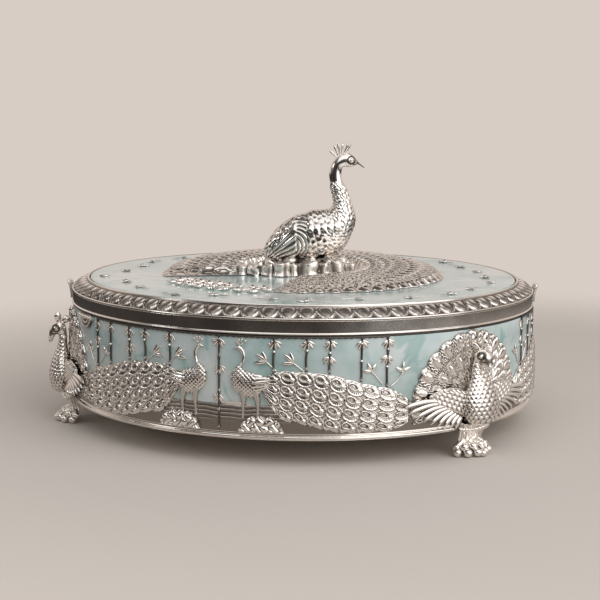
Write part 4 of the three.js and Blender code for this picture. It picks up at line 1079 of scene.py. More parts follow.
# %% Leg, toes and crest of the foot peacock
FLOOR = -14.97
LEG_LINE = [(148.4, 0, 5.0), (146.6, 0, 0.4), (144.8, 0, -4.2), (144.4, 0, -8.2), (145.0, 0, -12.0)]
RUFF_LINE = [(148.0, 0, 2.4), (147.8, 0, 1.3), (147.4, 0, 0.2)]
LEG_BREADTH = 2.9  # the leg is this much wider round the wall than outward
KNUCKLES = [(149.8, 2.9, -9.2), (148.0, 7.7, -9.6), (144.4, 10.6, -10.2)]
TOES = [(153.4, 2.7, -12.3), (151.2, 7.9, -12.4), (146.8, 11.8, -12.5)]
CREST_MIDDLE = [(152.8, 0, 46.4), (153.6, 0, 48.8), (153.8, 0, 51.0), (153.2, 0, 52.8)]
CREST_SIDE = [(151.4, 1.0, 46.0), (149.8, 2.2, 47.6), (148.4, 3.0, 48.8), (147.2, 3.4, 49.6)]


def knob(centre, radius):
    """A ball from circles round the upright axis."""
    turn = np.linspace(0, np.pi, 11)[:, None]
    around = np.linspace(0, 2 * np.pi, 18, endpoint=False)[None, :]
    return centre + radius * np.stack([np.sin(turn) * np.cos(around), np.sin(turn) * np.sin(around),
                                       np.cos(turn) + 0 * around], -1)


def flutes(count):
    """Flutes round a limb: 0.5 |sin(count * angle)|, the same all along it."""
    return lambda far, angle: 0.5 * np.abs(np.sin(angle * count)) + 0 * far


def leg_and_toes():
    """Fluted leg under a ruff, and toes that each run over a knuckle to a tip; none goes below the floor."""
    shapes = [limb(LEG_LINE, [3.4, 3.0, 2.7, 2.8, 3.2], LEG_BREADTH, steps=34, around=84, relief=flutes(7)),
              limb(RUFF_LINE, [3.0, 3.7, 3.0], LEG_BREADTH, steps=12, around=120, relief=flutes(12)),
              knob((155.0, 0, -12.7), 2.0)]
    for side in (-1, 1):
        for knuckle, tip in zip(KNUCKLES, TOES):
            knuckle, tip = np.array(knuckle) * [1, side, 1], np.array(tip) * [1, side, 1]
            root = np.array([144.8, knuckle[1] * 0.5, -6.4])
            toe = [root, knuckle * 0.6 + root * 0.4, knuckle, tip]
            shapes += [limb(toe, [2.2, 2.2, 1.9, 1.7], steps=20, around=16), knob(knuckle, 2.5),
                       knob(tip, 2.4)]
    for shape in shapes:
        shape[..., 2] = np.maximum(shape[..., 2], FLOOR)
    return shapes


def crest_leaf(points, width):
    """A limb that swells to its width and narrows to a fifth of it at the tip."""
    return limb(points, [0.5 * width, 0.9 * width, width, 0.2 * width], flat=0.6, steps=24, around=16)


def foot_peacock(turn):
    """Body, leg and toes, three crest leaves, and on each side an eye and a wing."""
    body, depth = bird_body()
    shapes = leg_and_toes() + [crest_leaf(CREST_MIDDLE, 2.1)]
    shapes += [crest_leaf(np.array(CREST_SIDE) * [1, side, 1], 1.8) for side in (1, -1)]
    parts = [tube(out_from_axis(body, turn), depth)]
    for side in (-1, 1):
        eyeball = BIRD_EYE * [1, side, 1]
        shapes.append(limb([eyeball, eyeball + [0, 1.3 * side, 0]], [1.1, 0.4], side=(0, 0, 1), steps=6))
        parts += wing(turn, side)
    return parts + [tube(out_from_axis(shape, turn)) for shape in shapes]


for k, turn in enumerate(FEET):
    piece(f"foot_bird_{k + 1}", foot_peacock(turn), CAST, "base", f"foot_peacock_{k + 1}")

# %% [markdown]
# ## Catch plate
# A small shield with a cross bar sits under the lid's band, to the left. It
# could be cut out of a cylinder with a Boolean, but a patch whose half width
# falls to nothing at the foot gets its rounded outline and its grooves in
# one step.

# %% Catch plate
PLATE_WIDTH, PLATE_TOP, PLATE_DROP = 8.2, 57.4, 8.0  # half width, upper edge, height
BAR_WIDTH, BAR_HEIGHT = 11, 56.0


def catch_plate(turn):
    """A shield, PLATE_WIDTH (1 - h^3.2)^0.5 wide at the share h down, with nested U grooves and a bar."""
    down_share = np.linspace(0, 1, 40)[None, :]
    across = np.linspace(-1, 1, 61)[:, None]
    x = across * PLATE_WIDTH * np.sqrt(np.clip(1 - down_share ** 3.2, 0.02, 1))
    z = PLATE_TOP - down_share * PLATE_DROP
    groove = np.cos(2 * np.pi * 3.2 * np.hypot(x / PLATE_WIDTH, np.clip(down_share, 0.15, 1)))
    edge = edge_ramp(np.minimum(1 - np.abs(across), 1 - down_share), 10)
    front = [x, z, 0.4 + (1.1 + 0.35 * groove) * edge]
    # The low parts of the grooves are painted darker, as painted shade.
    shield = height_patch(on_wall_at(turn), front, 0.25, 0.4 - 0.4 * groove)
    bar = limb([(x, 0, BAR_HEIGHT) for x in (-BAR_WIDTH, 0, BAR_WIDTH)], [1.0, 1.0, 1.0], steps=30)
    return [shield, tube(on_wall(bar, turn, 1, 1.3))]


piece("catch_shield", catch_plate(-43.7 * degrees), SATIN, "base", "catch_plate")

# %% [markdown]
# ## Rim moulding of the lid
# An egg-and-dart moulding slopes from the band to the enamel: a domed egg in
# a rounded husk, a recess between neighbours, and a smooth bead along the
# top. The recesses carry painted shade and the lower part of each egg a
# painted dark reflection. One egg could be modelled and repeated by an array,
# but the height of one repeat as a formula, run round the rim, leaves no
# seams to close.

# %% Egg and dart
EGGS, EGG_STEPS = 84, 17
SLOPE_FROM, SLOPE_IN, SLOPE_UP = (144.6, 66.35), 11.1, 6.35  # radius and height, then how far it goes
SLOPE_FEET = (144.6, 133.6), (66.25, 72.55)  # radii and heights where the moulding meets the lid
MOULDING_TOP = 73.85


def egg_and_dart():
    """Height over the slope, from the place t up it and the place b across one repeat.

    Two rims |b| = w = 0.46 (1 - (1 - s)^2)^0.5, with s = (t - 0.12) / 0.55,
    meet in a rounded point below. The egg is (1 - (b / w)^2 - (a / 0.4)^4)^0.5,
    with a = t - 0.54, and a bead runs along each edge of the moulding.
    """
    steps = EGGS * EGG_STEPS
    bearing = np.linspace(0, 2 * np.pi, steps, endpoint=False)[:, None]
    t = np.linspace(0, 1, 32)[None, :]
    b = np.mod(np.arange(steps) / EGG_STEPS, 1)[:, None] - 0.5
    room = 0.46 * np.sqrt(1 - (1 - np.clip((t - 0.12) / 0.55, 0, 1)) ** 2)
    closing = edge_ramp(0.84 - t, 9)
    egg = half_ball(b / np.maximum(room - 0.05, 0.02), ((t - 0.54) / 0.4) ** 2)
    rim = ridge(np.abs(b) - room, 0.06) * (t > 0.10) * closing
    outer, inner = half_ball((t - 0.05) / 0.05), half_ball((t - 0.94) / 0.06)
    height = 0.15 + np.maximum.reduce([1.6 * egg * closing, 1.35 * rim, 0.8 * outer + 0 * b,
                                       1.5 * inner + 0 * b])
    lean = math.atan2(SLOPE_UP, SLOPE_IN)
    radius = np.minimum(SLOPE_FROM[0] - SLOPE_IN * t + height * math.sin(lean), RIM)
    level = np.minimum(SLOPE_FROM[1] + SLOPE_UP * t + height * math.cos(lean), MOULDING_TOP)
    radius, level = (np.pad(grid, ((0, 0), (1, 1)), constant_values=((0, 0), feet))
                     for grid, feet in zip((radius, level), SLOPE_FEET))
    sections = np.stack([radius * np.sin(bearing), -radius * np.cos(bearing), level], -1)
    # Painted shade in the recesses between the husks, and a painted dark reflection on the lower part of each
    # egg.
    painted_recess_shade = 0.65 * (np.abs(b) > room + 0.1) * (t > 0.12) * (t < 0.8)
    painted_egg_reflection = 0.42 * (egg > 0.25) * np.clip((0.62 - t) / 0.2, 0, 1)
    dark = np.maximum.reduce([hollows(height, 0.9, 6), painted_recess_shade, painted_egg_reflection])
    return tube(sections, np.pad(dark, ((0, 0), (1, 1))), ring=True)


piece("egg_and_dart", [egg_and_dart()], CAST, "lid", "lid_moulding")

# %% [markdown]
# ## Enamel on the lid
# A disc of the same enamel fills the lid inside the moulding. It could be a
# cylinder primitive with a bevel, but the lathe function above already gives
# rounded edges and the hole for the screw. The coat's waves come from the
# finish.

# %% Lid enamel
disc = [(2.3, 72.5), (133.1, 72.5), (133.2, 72.7), (133.2, 73.3), (132.9, 73.6), (2.3, 73.6)]
piece("lid_enamel_disc", [tube(turned(disc), ring=True)], ENAMEL, "lid", "lid_enamel")

# %% [markdown]
# ## Fan on the lid
# The standing peacock's train lies round it as an open fan, with a gap at the
# front left. It could be bent from a flat sheet of feathers, but a sheet
# doesn't bend in two directions. The feathered height field of the foot tails
# does, once it is added to a low dome that rises toward the back.

# %% Fan on the lid
LID_SEAT, LID_FAN_TOP = 73.9, 85.4
LID_FAN_RADIUS, LID_FAN_RING, LID_FAN_COUNT = 89, 9.2, 56
LID_FAN_RISE = [0.85, 0.98, 1.0, 0.8, 0.3]  # shares of 9 mm, from the inner edge to the outer one


def in_lid(x, y, z):
    """Places of the lid's own drawing, turned about the axis by LID_TURN."""
    return spun(np.stack(np.broadcast_arrays(x, y, z), -1), LID_TURN)


def lid_tube(shape, tarnish_and_painted_shade=None, ring=False):
    """A closed tube of the lid's own drawing, turned into place."""
    return tube(spun(shape, LID_TURN), tarnish_and_painted_shade, ring)


def lid_fan():
    """Rings of feathers on a dome that lies nearly flat in front and rises at the back.

    The rise is 9 mm times a table over the share from the inner to the outer
    edge, times 0.15 in front to 1 behind, and falls to 0.4 of that over the
    last 35 degrees before each end. The ends are scalloped by turning each
    ring of feathers a little further or less far.
    """
    even = (-12 + np.linspace(0, 294, 661)[:, None]) * degrees
    share = np.linspace(0, 1, 108)[None, :]
    east, north = np.sin(even), -np.cos(even)
    inner = 62 / np.hypot(east / np.where(east > 0, 0.603, 0.617), north / 0.33)
    outer = LID_FAN_RADIUS * (1 - 0.045 * (1 - np.abs(np.cos(even * LID_FAN_COUNT / 2)) ** 0.5))
    reach = inner + share * (outer - inner)
    to_end = from_ends(even, even[0], even[-1])
    scallop = 3 * degrees * (1 - np.abs(np.sin(np.pi * reach / LID_FAN_RING)) ** 0.6)
    rays = even + scallop * np.exp(-to_end / (4 * degrees)) * np.sign(even[len(even) // 2] - even)
    dome = (0.15 + 0.85 * (1 - np.cos(rays)) / 2) * (0.4 + 0.6 * np.clip(to_end / (35 * degrees), 0, 1))
    rise = 9 * dome * np.interp(share, np.linspace(0, 1, 5), LID_FAN_RISE)
    relief = 1.6 * feather_fan(reach, rays, LID_FAN_RING, LID_FAN_COUNT, 0, -1.3)
    edge = edge_ramp(from_ends(share), 11, 0.8) * np.clip(to_end / (9 * degrees), 0, 1)
    top = np.minimum(LID_SEAT + 0.2 + (rise + 0.1 + relief) * edge, LID_FAN_TOP)
    front = [reach * np.sin(rays), -reach * np.cos(rays), top]
    return height_patch(in_lid, front, LID_SEAT + 0.05, hollows(relief, 1.3))


piece("fan_on_lid", [lid_fan()], CAST, "lid", "lid_fan")

# %% [markdown]
# ## Blossoms and sprigs
# A tuft of small blossoms fills the fan's gap, and flat twigs lie along the
# enamel's margin. They could be placed one by one, but nobody counts them,
# so a random generator with a fixed start scatters them the same each time.

# %% Blossoms and leaves
PETALS = 5


def petal_bloom(x, y, z, size, turn=0.0):
    """A blossom: its edge swells PETALS times in a turn, over a low dome with a bead in the middle.

    The edge is size (0.62 + 0.38 |sin(PETALS (angle + turn) / 2)|^0.6).
    """
    angle = np.linspace(0, 2 * np.pi, 30, endpoint=False)[None, :]
    share = np.linspace(0, 1, 10)[:, None]
    edge = size * (0.62 + 0.38 * np.abs(np.sin(PETALS * (angle + turn) / 2)) ** 0.6)
    reach = edge * np.cos(share * np.pi / 2) + 0.02
    cup = np.sin(share * np.pi / 2) * 0.25 + 0.35 * np.sin(share * np.pi) + 0.35 * (share > 0.8)
    return np.stack([x + reach * np.cos(angle), y + reach * np.sin(angle), z + size * cup + 0 * angle], -1)


def lid_blade(x, y, angle, length, width, z=LID_SEAT):
    """A pointed leaf that lies on the lid."""
    way = np.array([math.sin(angle), -math.cos(angle), 0])
    root = np.array([x, y, z + 0.35])
    points = [root, root + way * length * 0.35, root + way * length * 0.7, root + way * length]
    return limb(points, [0.15 * width, 0.5 * width, 0.4 * width, 0.05 * width], side=(0, 0, 1),
                steps=10, around=6)


print("points of a blossom and a leaf:", petal_bloom(0, 0, 0, 2)[..., 0].size,
      lid_blade(0, 0, 0, 5, 1)[..., 0].size)

# %% Tuft and sprigs
TUFT_BLOOMS = SPRIGS = 26
TWIG_LEAVES = [(-1.1, 4.2), (-0.5, 5.4), (0.1, 6.0), (0.7, 4.6)]  # lean in radians and length
chance = np.random.default_rng(7)


def tuft():
    """Three loose rows of small blossoms, each with four leaves, along an arc in the fan's gap."""
    shapes = []
    for number in range(TUFT_BLOOMS):
        bearing = (-64 + 1.95 * number + 1.5 * chance.random()) * degrees
        reach = 77 + 14 * (number % 3) / 2 + 2 * chance.random()
        x, y = reach * math.sin(bearing), -reach * math.cos(bearing)
        size = 2.0 + 1.3 * chance.random()
        bloom = petal_bloom(x, y, LID_SEAT + 0.1 + 0.6 * chance.random(), size, chance.random() * 6)
        bloom[0, :, 2] = LID_SEAT + 0.05
        shapes.append(bloom)
        for _ in range(4):
            shapes.append(lid_blade(x, y, chance.random() * 2 * math.pi, size * (1.5 + 1.2 * chance.random()),
                                    size * 0.42, LID_SEAT + 0.8 * chance.random()))
    return shapes


def margin_sprigs():
    """Small flat twigs of leaves, a bloom on every third, spread along the margin of the enamel."""
    shapes = []
    for number in range(SPRIGS):
        angle = 2 * math.pi * (number + 0.35 * chance.random()) / SPRIGS
        reach = 108 + 17 * chance.random()
        x, y = reach * math.sin(angle), -reach * math.cos(angle)
        lean = angle + math.pi / 2 * (1 if number % 2 else -1)
        for bend, length in TWIG_LEAVES:
            shapes.append(lid_blade(x, y, lean + bend, length, 1.3, LID_SEAT - 0.1))
        shapes.append(lid_blade(x, y, lean + math.pi, 9.5, 0.6, LID_SEAT - 0.1))
        if number % 3 == 0:
            shapes.append(petal_bloom(x, y, LID_SEAT + 0.05, 2.0))
    return shapes


blooms = [lid_tube(shape, np.full(shape.shape[:2], tone))
          for group, tone in ((tuft(), 0.0), (margin_sprigs(), 0.1)) for shape in group]
piece("blossoms_on_lid", blooms, CAST, "lid", "lid_tuft")

# %% [markdown]
# ## Lugs
# Two thin curved lugs stand on the band, left and right, perhaps to lift the
# lid by. A plane with a Solidify modifier would do, but it would be equally
# thick everywhere. With an inner and an outer face of their own, they thin
# out toward their sides.

# %% Lugs
LUG_WIDTH, LUG_FOOT, LUG_HEIGHT = 7.0, 58.4, 10.7  # half width, lower edge, height


def lug(side):
    """A thin plate that leans out by 2.2 up^2, 1.45 (1 - 0.5 across^6) thick, with rounded corners."""
    up = np.linspace(0, 1, 30)[None, :]
    across = np.linspace(-1, 1, 41)[:, None]
    half = LUG_WIDTH * (1 - 0.25 * np.clip((up - 0.6) / 0.4, 0, 1) ** 2)
    inner = RIM + 0.35 + 2.2 * up ** 2 + 0 * across
    outer = inner + 1.45 * (1 - 0.5 * across ** 6)
    turn = across * half / RIM + side * np.pi / 2
    level = LUG_FOOT + up * LUG_HEIGHT + 0 * across
    radius, turn, level = (np.concatenate([there, back[:, ::-1]], 1)
                           for there, back in ((inner, outer), (turn, turn), (level, level)))
    return [tube(in_lid(radius * np.sin(turn), -radius * np.cos(turn), level))]


piece("lug_curl_left", lug(-1), SATIN, "lid", "lug_left")
piece("lug_curl_right", lug(1), SATIN, "lid", "lug_right")

# %% [markdown]
# ## Standing peacock
# The bird on the lid is cast in the round, from the tip of its tail to its
# beak. It could be sculpted, but then no number would say where a feather
# is. So it is one tube between its back outline and its breast outline.
# Scales cover the body and lower neck, the folded wing has barred coverts and
# long quills that sweep to the tail, and the upper neck and head are smooth.

# %% Outlines and feathers of the standing peacock
# Each row: back x and z, breast x and z, and half the breadth.
SECTIONS = np.array([
    (-24.4, 86.5, -23.8, 84.6, 0.6), (-23.4, 91, -19.5, 84.6, 3.2), (-19.9, 97.1, -14.5, 84.6, 6),
    (-14.5, 103.6, -9, 84.6, 8.8), (-8.4, 108, -3.5, 84.6, 11), (-2.5, 110.8, 2, 84.6, 12.4),
    (3.5, 113, 8, 84.8, 13), (9, 113.7, 15.5, 85.8, 13), (13.6, 114, 21.8, 88.2, 12.2),
    (16.6, 114.8, 26.5, 93.4, 10.9), (18.8, 117, 29.7, 100.2, 9.5), (19.6, 119.6, 31.7, 107, 8),
    (19.3, 122.4, 31.6, 112.6, 6.6), (18.4, 126.4, 29.6, 119.2, 5.2), (17.1, 130.6, 27, 126.2, 4.4),
    (16.1, 135.4, 24.8, 132.2, 4), (16.2, 139.6, 23.7, 137.6, 3.8), (17.6, 144.4, 24.2, 141.2, 3.8),
    (20.8, 148, 26, 142, 3.9), (25, 150.4, 28.4, 141.8, 3.9), (29, 150.3, 30.4, 142.1, 3.4),
    (32.1, 147.8, 32.2, 143, 2.4), (33.9, 145.3, 33.9, 143.6, 1.2), (35.8, 143.6, 35.7, 142.6, 0.7),
    (38, 141.7, 37.9, 141.2, 0.25)])
BACK, BREAST, BREADTH = SECTIONS[:, 0:2], SECTIONS[:, 2:4], SECTIONS[:, 4]
WING_PIVOT = (-28, 79.6)
WING_LOW, WING_HIGH, QUILL = 14, 50, 7.2  # degrees about the pivot
SHOULDER_FROM, SHOULDER_PITCH = 5, 4.0


def peacock_relief(x, z, far, girth):
    """Pointed feathers over the body, and a folded wing of quills, barred coverts and shoulder leaves.

    The quills are stripes of equal angle about a point behind the tail.
    """
    slid = -far + 0.5 * np.sin(1.3 * girth + 0.4 * far)
    swayed = girth + 0.6 * np.sin(0.8 * far)
    large = lattice(slid, swayed, 3.4, 4.4, scale_cell(3.1, 2.3))
    fine = lattice(slid, swayed, 2.7, 3.3, scale_cell(2.4, 1.75))
    body = np.where(x > 15, 1.5 * fine, 1.9 * large) * np.clip((133 - z) / 4, 0, 1)
    angle = np.degrees(np.arctan2(z - WING_PIVOT[1], x - WING_PIVOT[0]))
    reach = np.hypot(z - WING_PIVOT[1], x - WING_PIVOT[0])
    inside = np.clip(from_ends(angle, WING_LOW, WING_HIGH) / 1.5, 0, 1)
    quills = 0.5 + 1.2 * np.abs(np.sin(np.pi * (angle - WING_LOW) / QUILL)) ** 0.6
    bars = 0.7 + 0.35 * np.cos(2 * np.pi * (reach + 0.08 * (angle - 32) ** 2 / 4) / 2.7)
    covert = np.clip((x + 5) / 1.5, 0, 1)
    wing_share = inside * np.clip((4 - x) / 1.5, 0, 1)
    number = np.clip(np.round((x - SHOULDER_FROM) / SHOULDER_PITCH), 0, 4)
    along = SHOULDER_FROM + SHOULDER_PITCH * number - x
    shoulder = scale_cell(3.0, 2.8)(along, z - 103.5 - 0.12 * (x - SHOULDER_FROM))
    folded = wing_share * (quills * (1 - covert) + bars * covert) + (1 - wing_share) * body
    return np.maximum(folded, 2.3 * shoulder * (x > 2) * (x < 23))


print("sections of the standing peacock:", len(SECTIONS), "height, mm:", np.ptp(SECTIONS[:, [1, 3]]).round(1))

# %% Standing peacock
EYE = np.array([29.7, 3.2, 146.2])
CREST_ROOTS = [(21.1, 148.8), (21.9, 149.3), (22.7, 149.8), (23.5, 150.2), (24.3, 150.5), (25.0, 150.6)]
CREST_TIPS = [(16.4, 152.0), (18.9, 155.6), (21.2, 156.5), (24.3, 156.9), (27.6, 156.8), (29.1, 155.8)]


def standing_body():
    """Ellipses between back and breast, raised by the feathers; eye socket and gape are painted shade, the
    beak is dark.
    """
    shape = between(BACK, BREAST, BREADTH, 420, 120, 0.92)
    x, y, z = np.moveaxis(shape, -1, 0)
    far, mean = skin_of(shape, BREADTH)
    angle = np.linspace(0, 2 * np.pi, shape.shape[1], endpoint=False)[None, :]
    girth = from_ends(angle, 0, 2 * np.pi) * mean
    relief = smooth(peacock_relief(x, z, far, girth) * np.clip(far / 3, 0, 1), 1)
    # Painted shade round the eye and between the beak's halves.
    painted_socket_shade = ridge(np.hypot(x - EYE[0], z - EYE[2]) - 2.3, 0.5) * (np.abs(y) > 1.5)
    painted_gape_shade = ridge(z - 143.7 - 0.3 * (31 - x), 0.35) * (x > 27.5)
    dark = np.maximum.reduce([hollows(relief, 0.4, 6), painted_socket_shade, painted_gape_shade, 0.6 * (x > 33)])
    return lid_tube(raised(shape, relief), dark)


def crest_blades():
    """Crest blades that fan out sideways by sin(2.4 number), each with a small ball at its tip."""
    shapes = []
    for number, (foot, head) in enumerate(zip(CREST_ROOTS, CREST_TIPS)):
        root = np.array([foot[0], 0, foot[1] - 1.2])
        tip = np.array([head[0], math.sin(number * 2.4), head[1] - 0.3])
        points = [root, root + (tip - root) * 0.4, root + (tip - root) * 0.8, tip]
        ball = [tip + [-0.4, 0, -0.3], tip + [0.1, 0, 0.05], tip + [0.6, 0, 0.2]]
        shapes += [limb(points, [0.38, 0.5, 0.75, 0.3], flat=0.7, steps=20, around=10),
                   limb(ball, [0.3, 0.62, 0.25], steps=10, around=10)]
    return [lid_tube(shape) for shape in shapes]


def eye_and_rim(side):
    """A round eye, and a rim that is a thin ring along an oval, 1.6 by 1.2."""
    centre = EYE * [1, side, 1]
    ball = limb([centre, centre + [0, side * 0.4, 0], centre + [0, side * 0.75, 0]], [1.0, 0.85, 0.3],
                side=(0, 0, 1), steps=10, around=16)
    angle = np.linspace(0, 2 * np.pi, 32, endpoint=False)
    turn = np.linspace(0, 2 * np.pi, 8, endpoint=False)[None, :, None]
    oval = np.stack([1.6 * np.cos(angle), 0 * angle, 1.2 * np.sin(angle)], -1)
    outward = oval / np.linalg.norm(oval, axis=1, keepdims=True)
    rim = centre + oval[:, None] + 0.32 * (np.cos(turn) * outward[:, None] + np.sin(turn) * [0, 1, 0])
    return [lid_tube(ball), lid_tube(rim, ring=True)]


bird = [standing_body()] + crest_blades() + eye_and_rim(-1) + eye_and_rim(1)
piece("standing_peacock", bird, CAST, "lid", "finial_peacock")

# %% [markdown]
# ## Stones under the peacock
# The bird stands on a row of worn upright stones, brushed satin, with painted
# shade in their flutes. Cylinders with noise on them would look alike. Each
# stone is a limb of its own, with its own height and thickness, a slight bend,
# and flutes that are shifted from stone to stone.

# %% Stones
# Each stone: x, y, radius and height of its top.
FRONT_STONES = [(-39, -4, 4.8, 80.0), (-30.5, -6.5, 4.4, 78.0), (-22.5, -8, 4.2, 80.5),
                (-13.4, -10, 6.2, 83.0), (-4.6, -9, 3.8, 81.6), (4.4, -10.5, 7.4, 83.6),
                (13, -9.5, 3.6, 82.6), (20.6, -9, 6.2, 84.4), (29, -5, 4.0, 82.0)]
MIDDLE_STONES = [(-30, 0, 5.6, 80.4), (-19, 0, 6.4, 83.0), (-8, 0, 6.6, 85.2), (4, 0, 7.0, 86.4),
                 (15, 0, 6.6, 87.2), (23, 1, 5.4, 86.0)]
STONE_STEPS, STONE_AROUND = 20, 40


def flank(number):
    """Three wide and seven fine waves round a stone, shifted by its number."""
    def relief(far, angle):
        return 0.4 * np.cos(3 * angle + number) + 0.15 * np.cos(7 * angle + 2 * number) + 0 * far
    return relief


def stone(number, x, y, radius, top):
    """A bent upright limb with a rounded top, with painted shade where its wide waves are low, most at the
    foot.
    """
    span = top - LID_SEAT
    points = [(x, y, LID_SEAT + 0.05), (x + 0.5 * math.sin(number), y, LID_SEAT + 0.35 * span),
              (x - 0.4 * math.sin(2 * number), y, LID_SEAT + 0.8 * span), (x, y, LID_SEAT + 0.93 * span),
              (x, y, top)]
    radii = [radius, 0.84 * radius, 0.9 * radius, 0.72 * radius, 0.15 * radius]
    angle = np.linspace(0, 2 * np.pi, STONE_AROUND, endpoint=False)[None, :]
    # Painted shade in the flutes, strongest at the foot by the lid.
    painted_flute_shade = np.clip(-0.8 * np.cos(3 * angle + number) - 0.25, 0, 0.8)
    shape = limb(points, radii, steps=STONE_STEPS, around=STONE_AROUND, relief=flank(number))
    return lid_tube(shape, painted_flute_shade * np.linspace(1.0, 0.4, STONE_STEPS)[:, None])


back_stones = [(x, -y, radius, top + 0.5) for x, y, radius, top in FRONT_STONES]
stones = [stone(number, *row) for number, row in enumerate(FRONT_STONES + MIDDLE_STONES + back_stones)]
piece("finial_stones", stones, SATIN, "lid", "finial_base")

# %% [markdown]
# ## Glass dishes
# Six loose dishes of pressed glass stand inside: a round one and five that
# fill the ring round it. Boxes with the insides cut out would have sharp
# edges, and a glass-maker's mould has none. So each dish is one row of
# outlines, up the outside, over the rim and down the inside.

# %% Round dish
ROUND_PROFILE = [(42.5, 1.5), (44.4, 1.9), (45, 3.0), (45, 42.3), (44.7, 43.2), (43.8, 43.5),
                 (42.9, 43.2), (42.6, 42.3), (42.6, 8.0), (41.6, 5.6), (39.0, 4.5)]
angle = np.linspace(0, 2 * np.pi, 160, endpoint=False)
radius, level = np.array(ROUND_PROFILE).T[..., None]
round_dish = np.stack([radius * np.cos(angle), radius * np.sin(angle), level + 0 * angle], -1)
piece("round_dish", [tube(round_dish)], GLASS, "centre_dish", "dish_centre")

# %% Fan dishes
FAN_NEAR, FAN_FAR, FAN_GAP, FAN_CORNER = 46.5, 135.5, 0.75, 8  # two radii, half the gap, corner radius
# Rings of the dish: how far drawn in from its outline, and height.
FAN_RINGS = [(1.6, 1.5), (0.4, 1.9), (0.0, 3.0), (0.0, 42.3), (0.3, 43.2), (1.2, 43.5), (2.1, 43.2),
             (2.4, 42.3), (2.4, 8.0), (3.2, 5.6), (5.2, 4.5)]


def arc(radius, turn, start, stop, size, count=12):
    """Points of a circle of a size, from bearing start to stop, about a middle at radius and turn."""
    a = np.linspace(start, stop, count)
    return np.stack([radius * np.sin(turn) + size * np.sin(a), -radius * np.cos(turn) - size * np.cos(a)], -1)


def sector_outline(inset):
    """A rounded ring sector, drawn in by an inset: corner arcs joined by the near and far arcs.

    A corner's middle, at a radius R, lies at the bearing half - asin((side + corner) / R).
    """
    near, far = FAN_NEAR + inset, FAN_FAR - inset
    half, side, corner = 36 * degrees, FAN_GAP + inset, max(FAN_CORNER - inset, 1.5)
    near_turn = half - math.asin((side + corner) / (near + corner))
    far_turn = half - math.asin((side + corner) / (far - corner))
    right = np.concatenate([
        arc(near + corner, near_turn, near_turn + np.pi, half + np.pi / 2, corner),
        arc(far - corner, far_turn, half + np.pi / 2, far_turn, corner)])
    far_arc = arc(0, 0, far_turn, -far_turn, far, 26)[1:-1]
    near_arc = arc(0, 0, -near_turn, near_turn, near, 14)[1:-1]
    return np.concatenate([right, far_arc, (right * [-1, 1])[::-1], near_arc])


outlines = [(sector_outline(inset), z) for inset, z in FAN_RINGS]
fan_dish = np.stack([np.column_stack([flat, np.full(len(flat), z)]) for flat, z in outlines])
for k in range(5):
    piece(f"fan_dish_glass_{k + 1}", [tube(spun(fan_dish, k * 72 * degrees))], GLASS, f"fan_dish_{k + 1}",
          f"dish_{k + 1}")

# %% [markdown]
# ## Kept CAD nodes
# Screws, the washer and the base plate are plain turned and rolled parts, and
# the CAD model has them right. They could be made again, but nothing would be
# gained, so they only get their finishes.

# %% Finishes of the kept nodes
kept = []
for name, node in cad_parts.items():
    finish = STEEL if "screw" in name or "washer" in name else SPUN
    if name == "base_plate" or finish is STEEL:
        node.data.materials.clear()
        node.data.materials.append(finish)
        kept.append(name)
print("kept CAD nodes:", kept)

# %% [markdown]
# ## Floor
# The box stands on a sheet of matt paper. A sheet with an edge would show its
# outline behind the box. This one turns clear between 0.3 m and 0.62 m from a
# point near the box's middle, so it keeps the shadow and runs into the pale
# backdrop.

# %% Floor
FLOOR_LEVEL, FLOOR_REACH = -0.015, 1.5
FADE_FROM, FADE_TO = 0.3, 0.62
FADE_MIDDLE = (0.1, 0.02, 0)


def floor_disc():
    """A flat round sheet: rings of points at even distances, joined by quads."""
    angle = np.linspace(0, 2 * np.pi, 96, endpoint=False)[None, :]
    reach = np.linspace(0.001, FLOOR_REACH, 16)[:, None]
    rings = np.stack([reach * np.cos(angle), reach * np.sin(angle), FLOOR_LEVEL + 0 * reach * angle], -1)
    number = np.arange(rings.shape[0] * rings.shape[1]).reshape(rings.shape[:2])
    far, near = number[1:], number[:-1]
    quads = np.stack([near, far, np.roll(far, -1, 1), np.roll(near, -1, 1)], -1).reshape(-1, 4)
    mesh = bpy.data.meshes.new("floor")
    mesh.from_pydata(rings.reshape(-1, 3).tolist(), [], quads.tolist() + [number[0].tolist()])
    sheet = bpy.data.objects.new("floor", mesh)
    bpy.context.scene.collection.objects.link(sheet)
    return sheet


# Matt paper: a dull, even surface that shows the box's soft shadow.
paper, tree, shader, place = new_material("matt_paper")
spread = add(tree, "ShaderNodeVectorMath", {0: place, 1: spun(FADE_MIDDLE, LID_TURN).tolist()},
             operation="DISTANCE").outputs["Value"]
fade = add(tree, "ShaderNodeMapRange", {"Value": spread, "From Min": FADE_FROM, "From Max": FADE_TO},
           interpolation_type="SMOOTHSTEP").outputs["Result"]
clear = add(tree, "ShaderNodeBsdfTransparent")
faded = add(tree, "ShaderNodeMixShader", {"Fac": fade, 1: shader.outputs[0], 2: clear.outputs[0]})
feed(tree, tree.nodes["Material Output"], {"Surface": faded.outputs[0]})
feed(tree, shader, {"Base Color": linear("#cfc8c1"), "Roughness": 0.8})
floor_disc().data.materials.append(paper)
print("floor fades from", FADE_FROM, "to", FADE_TO, "m")

# %% [markdown]
# ## Light
# Polished silver has no colour of its own: it shows the room. One lamp would
# give it a black room and one hot spot. So two large softboxes and a small
# one at the left light it at a plain level, at which colours look as they are
# written, and the sky gives it a room to mirror: bright a little above the
# horizon, darker overhead, to the left and behind the camera, and pale behind
# the box.

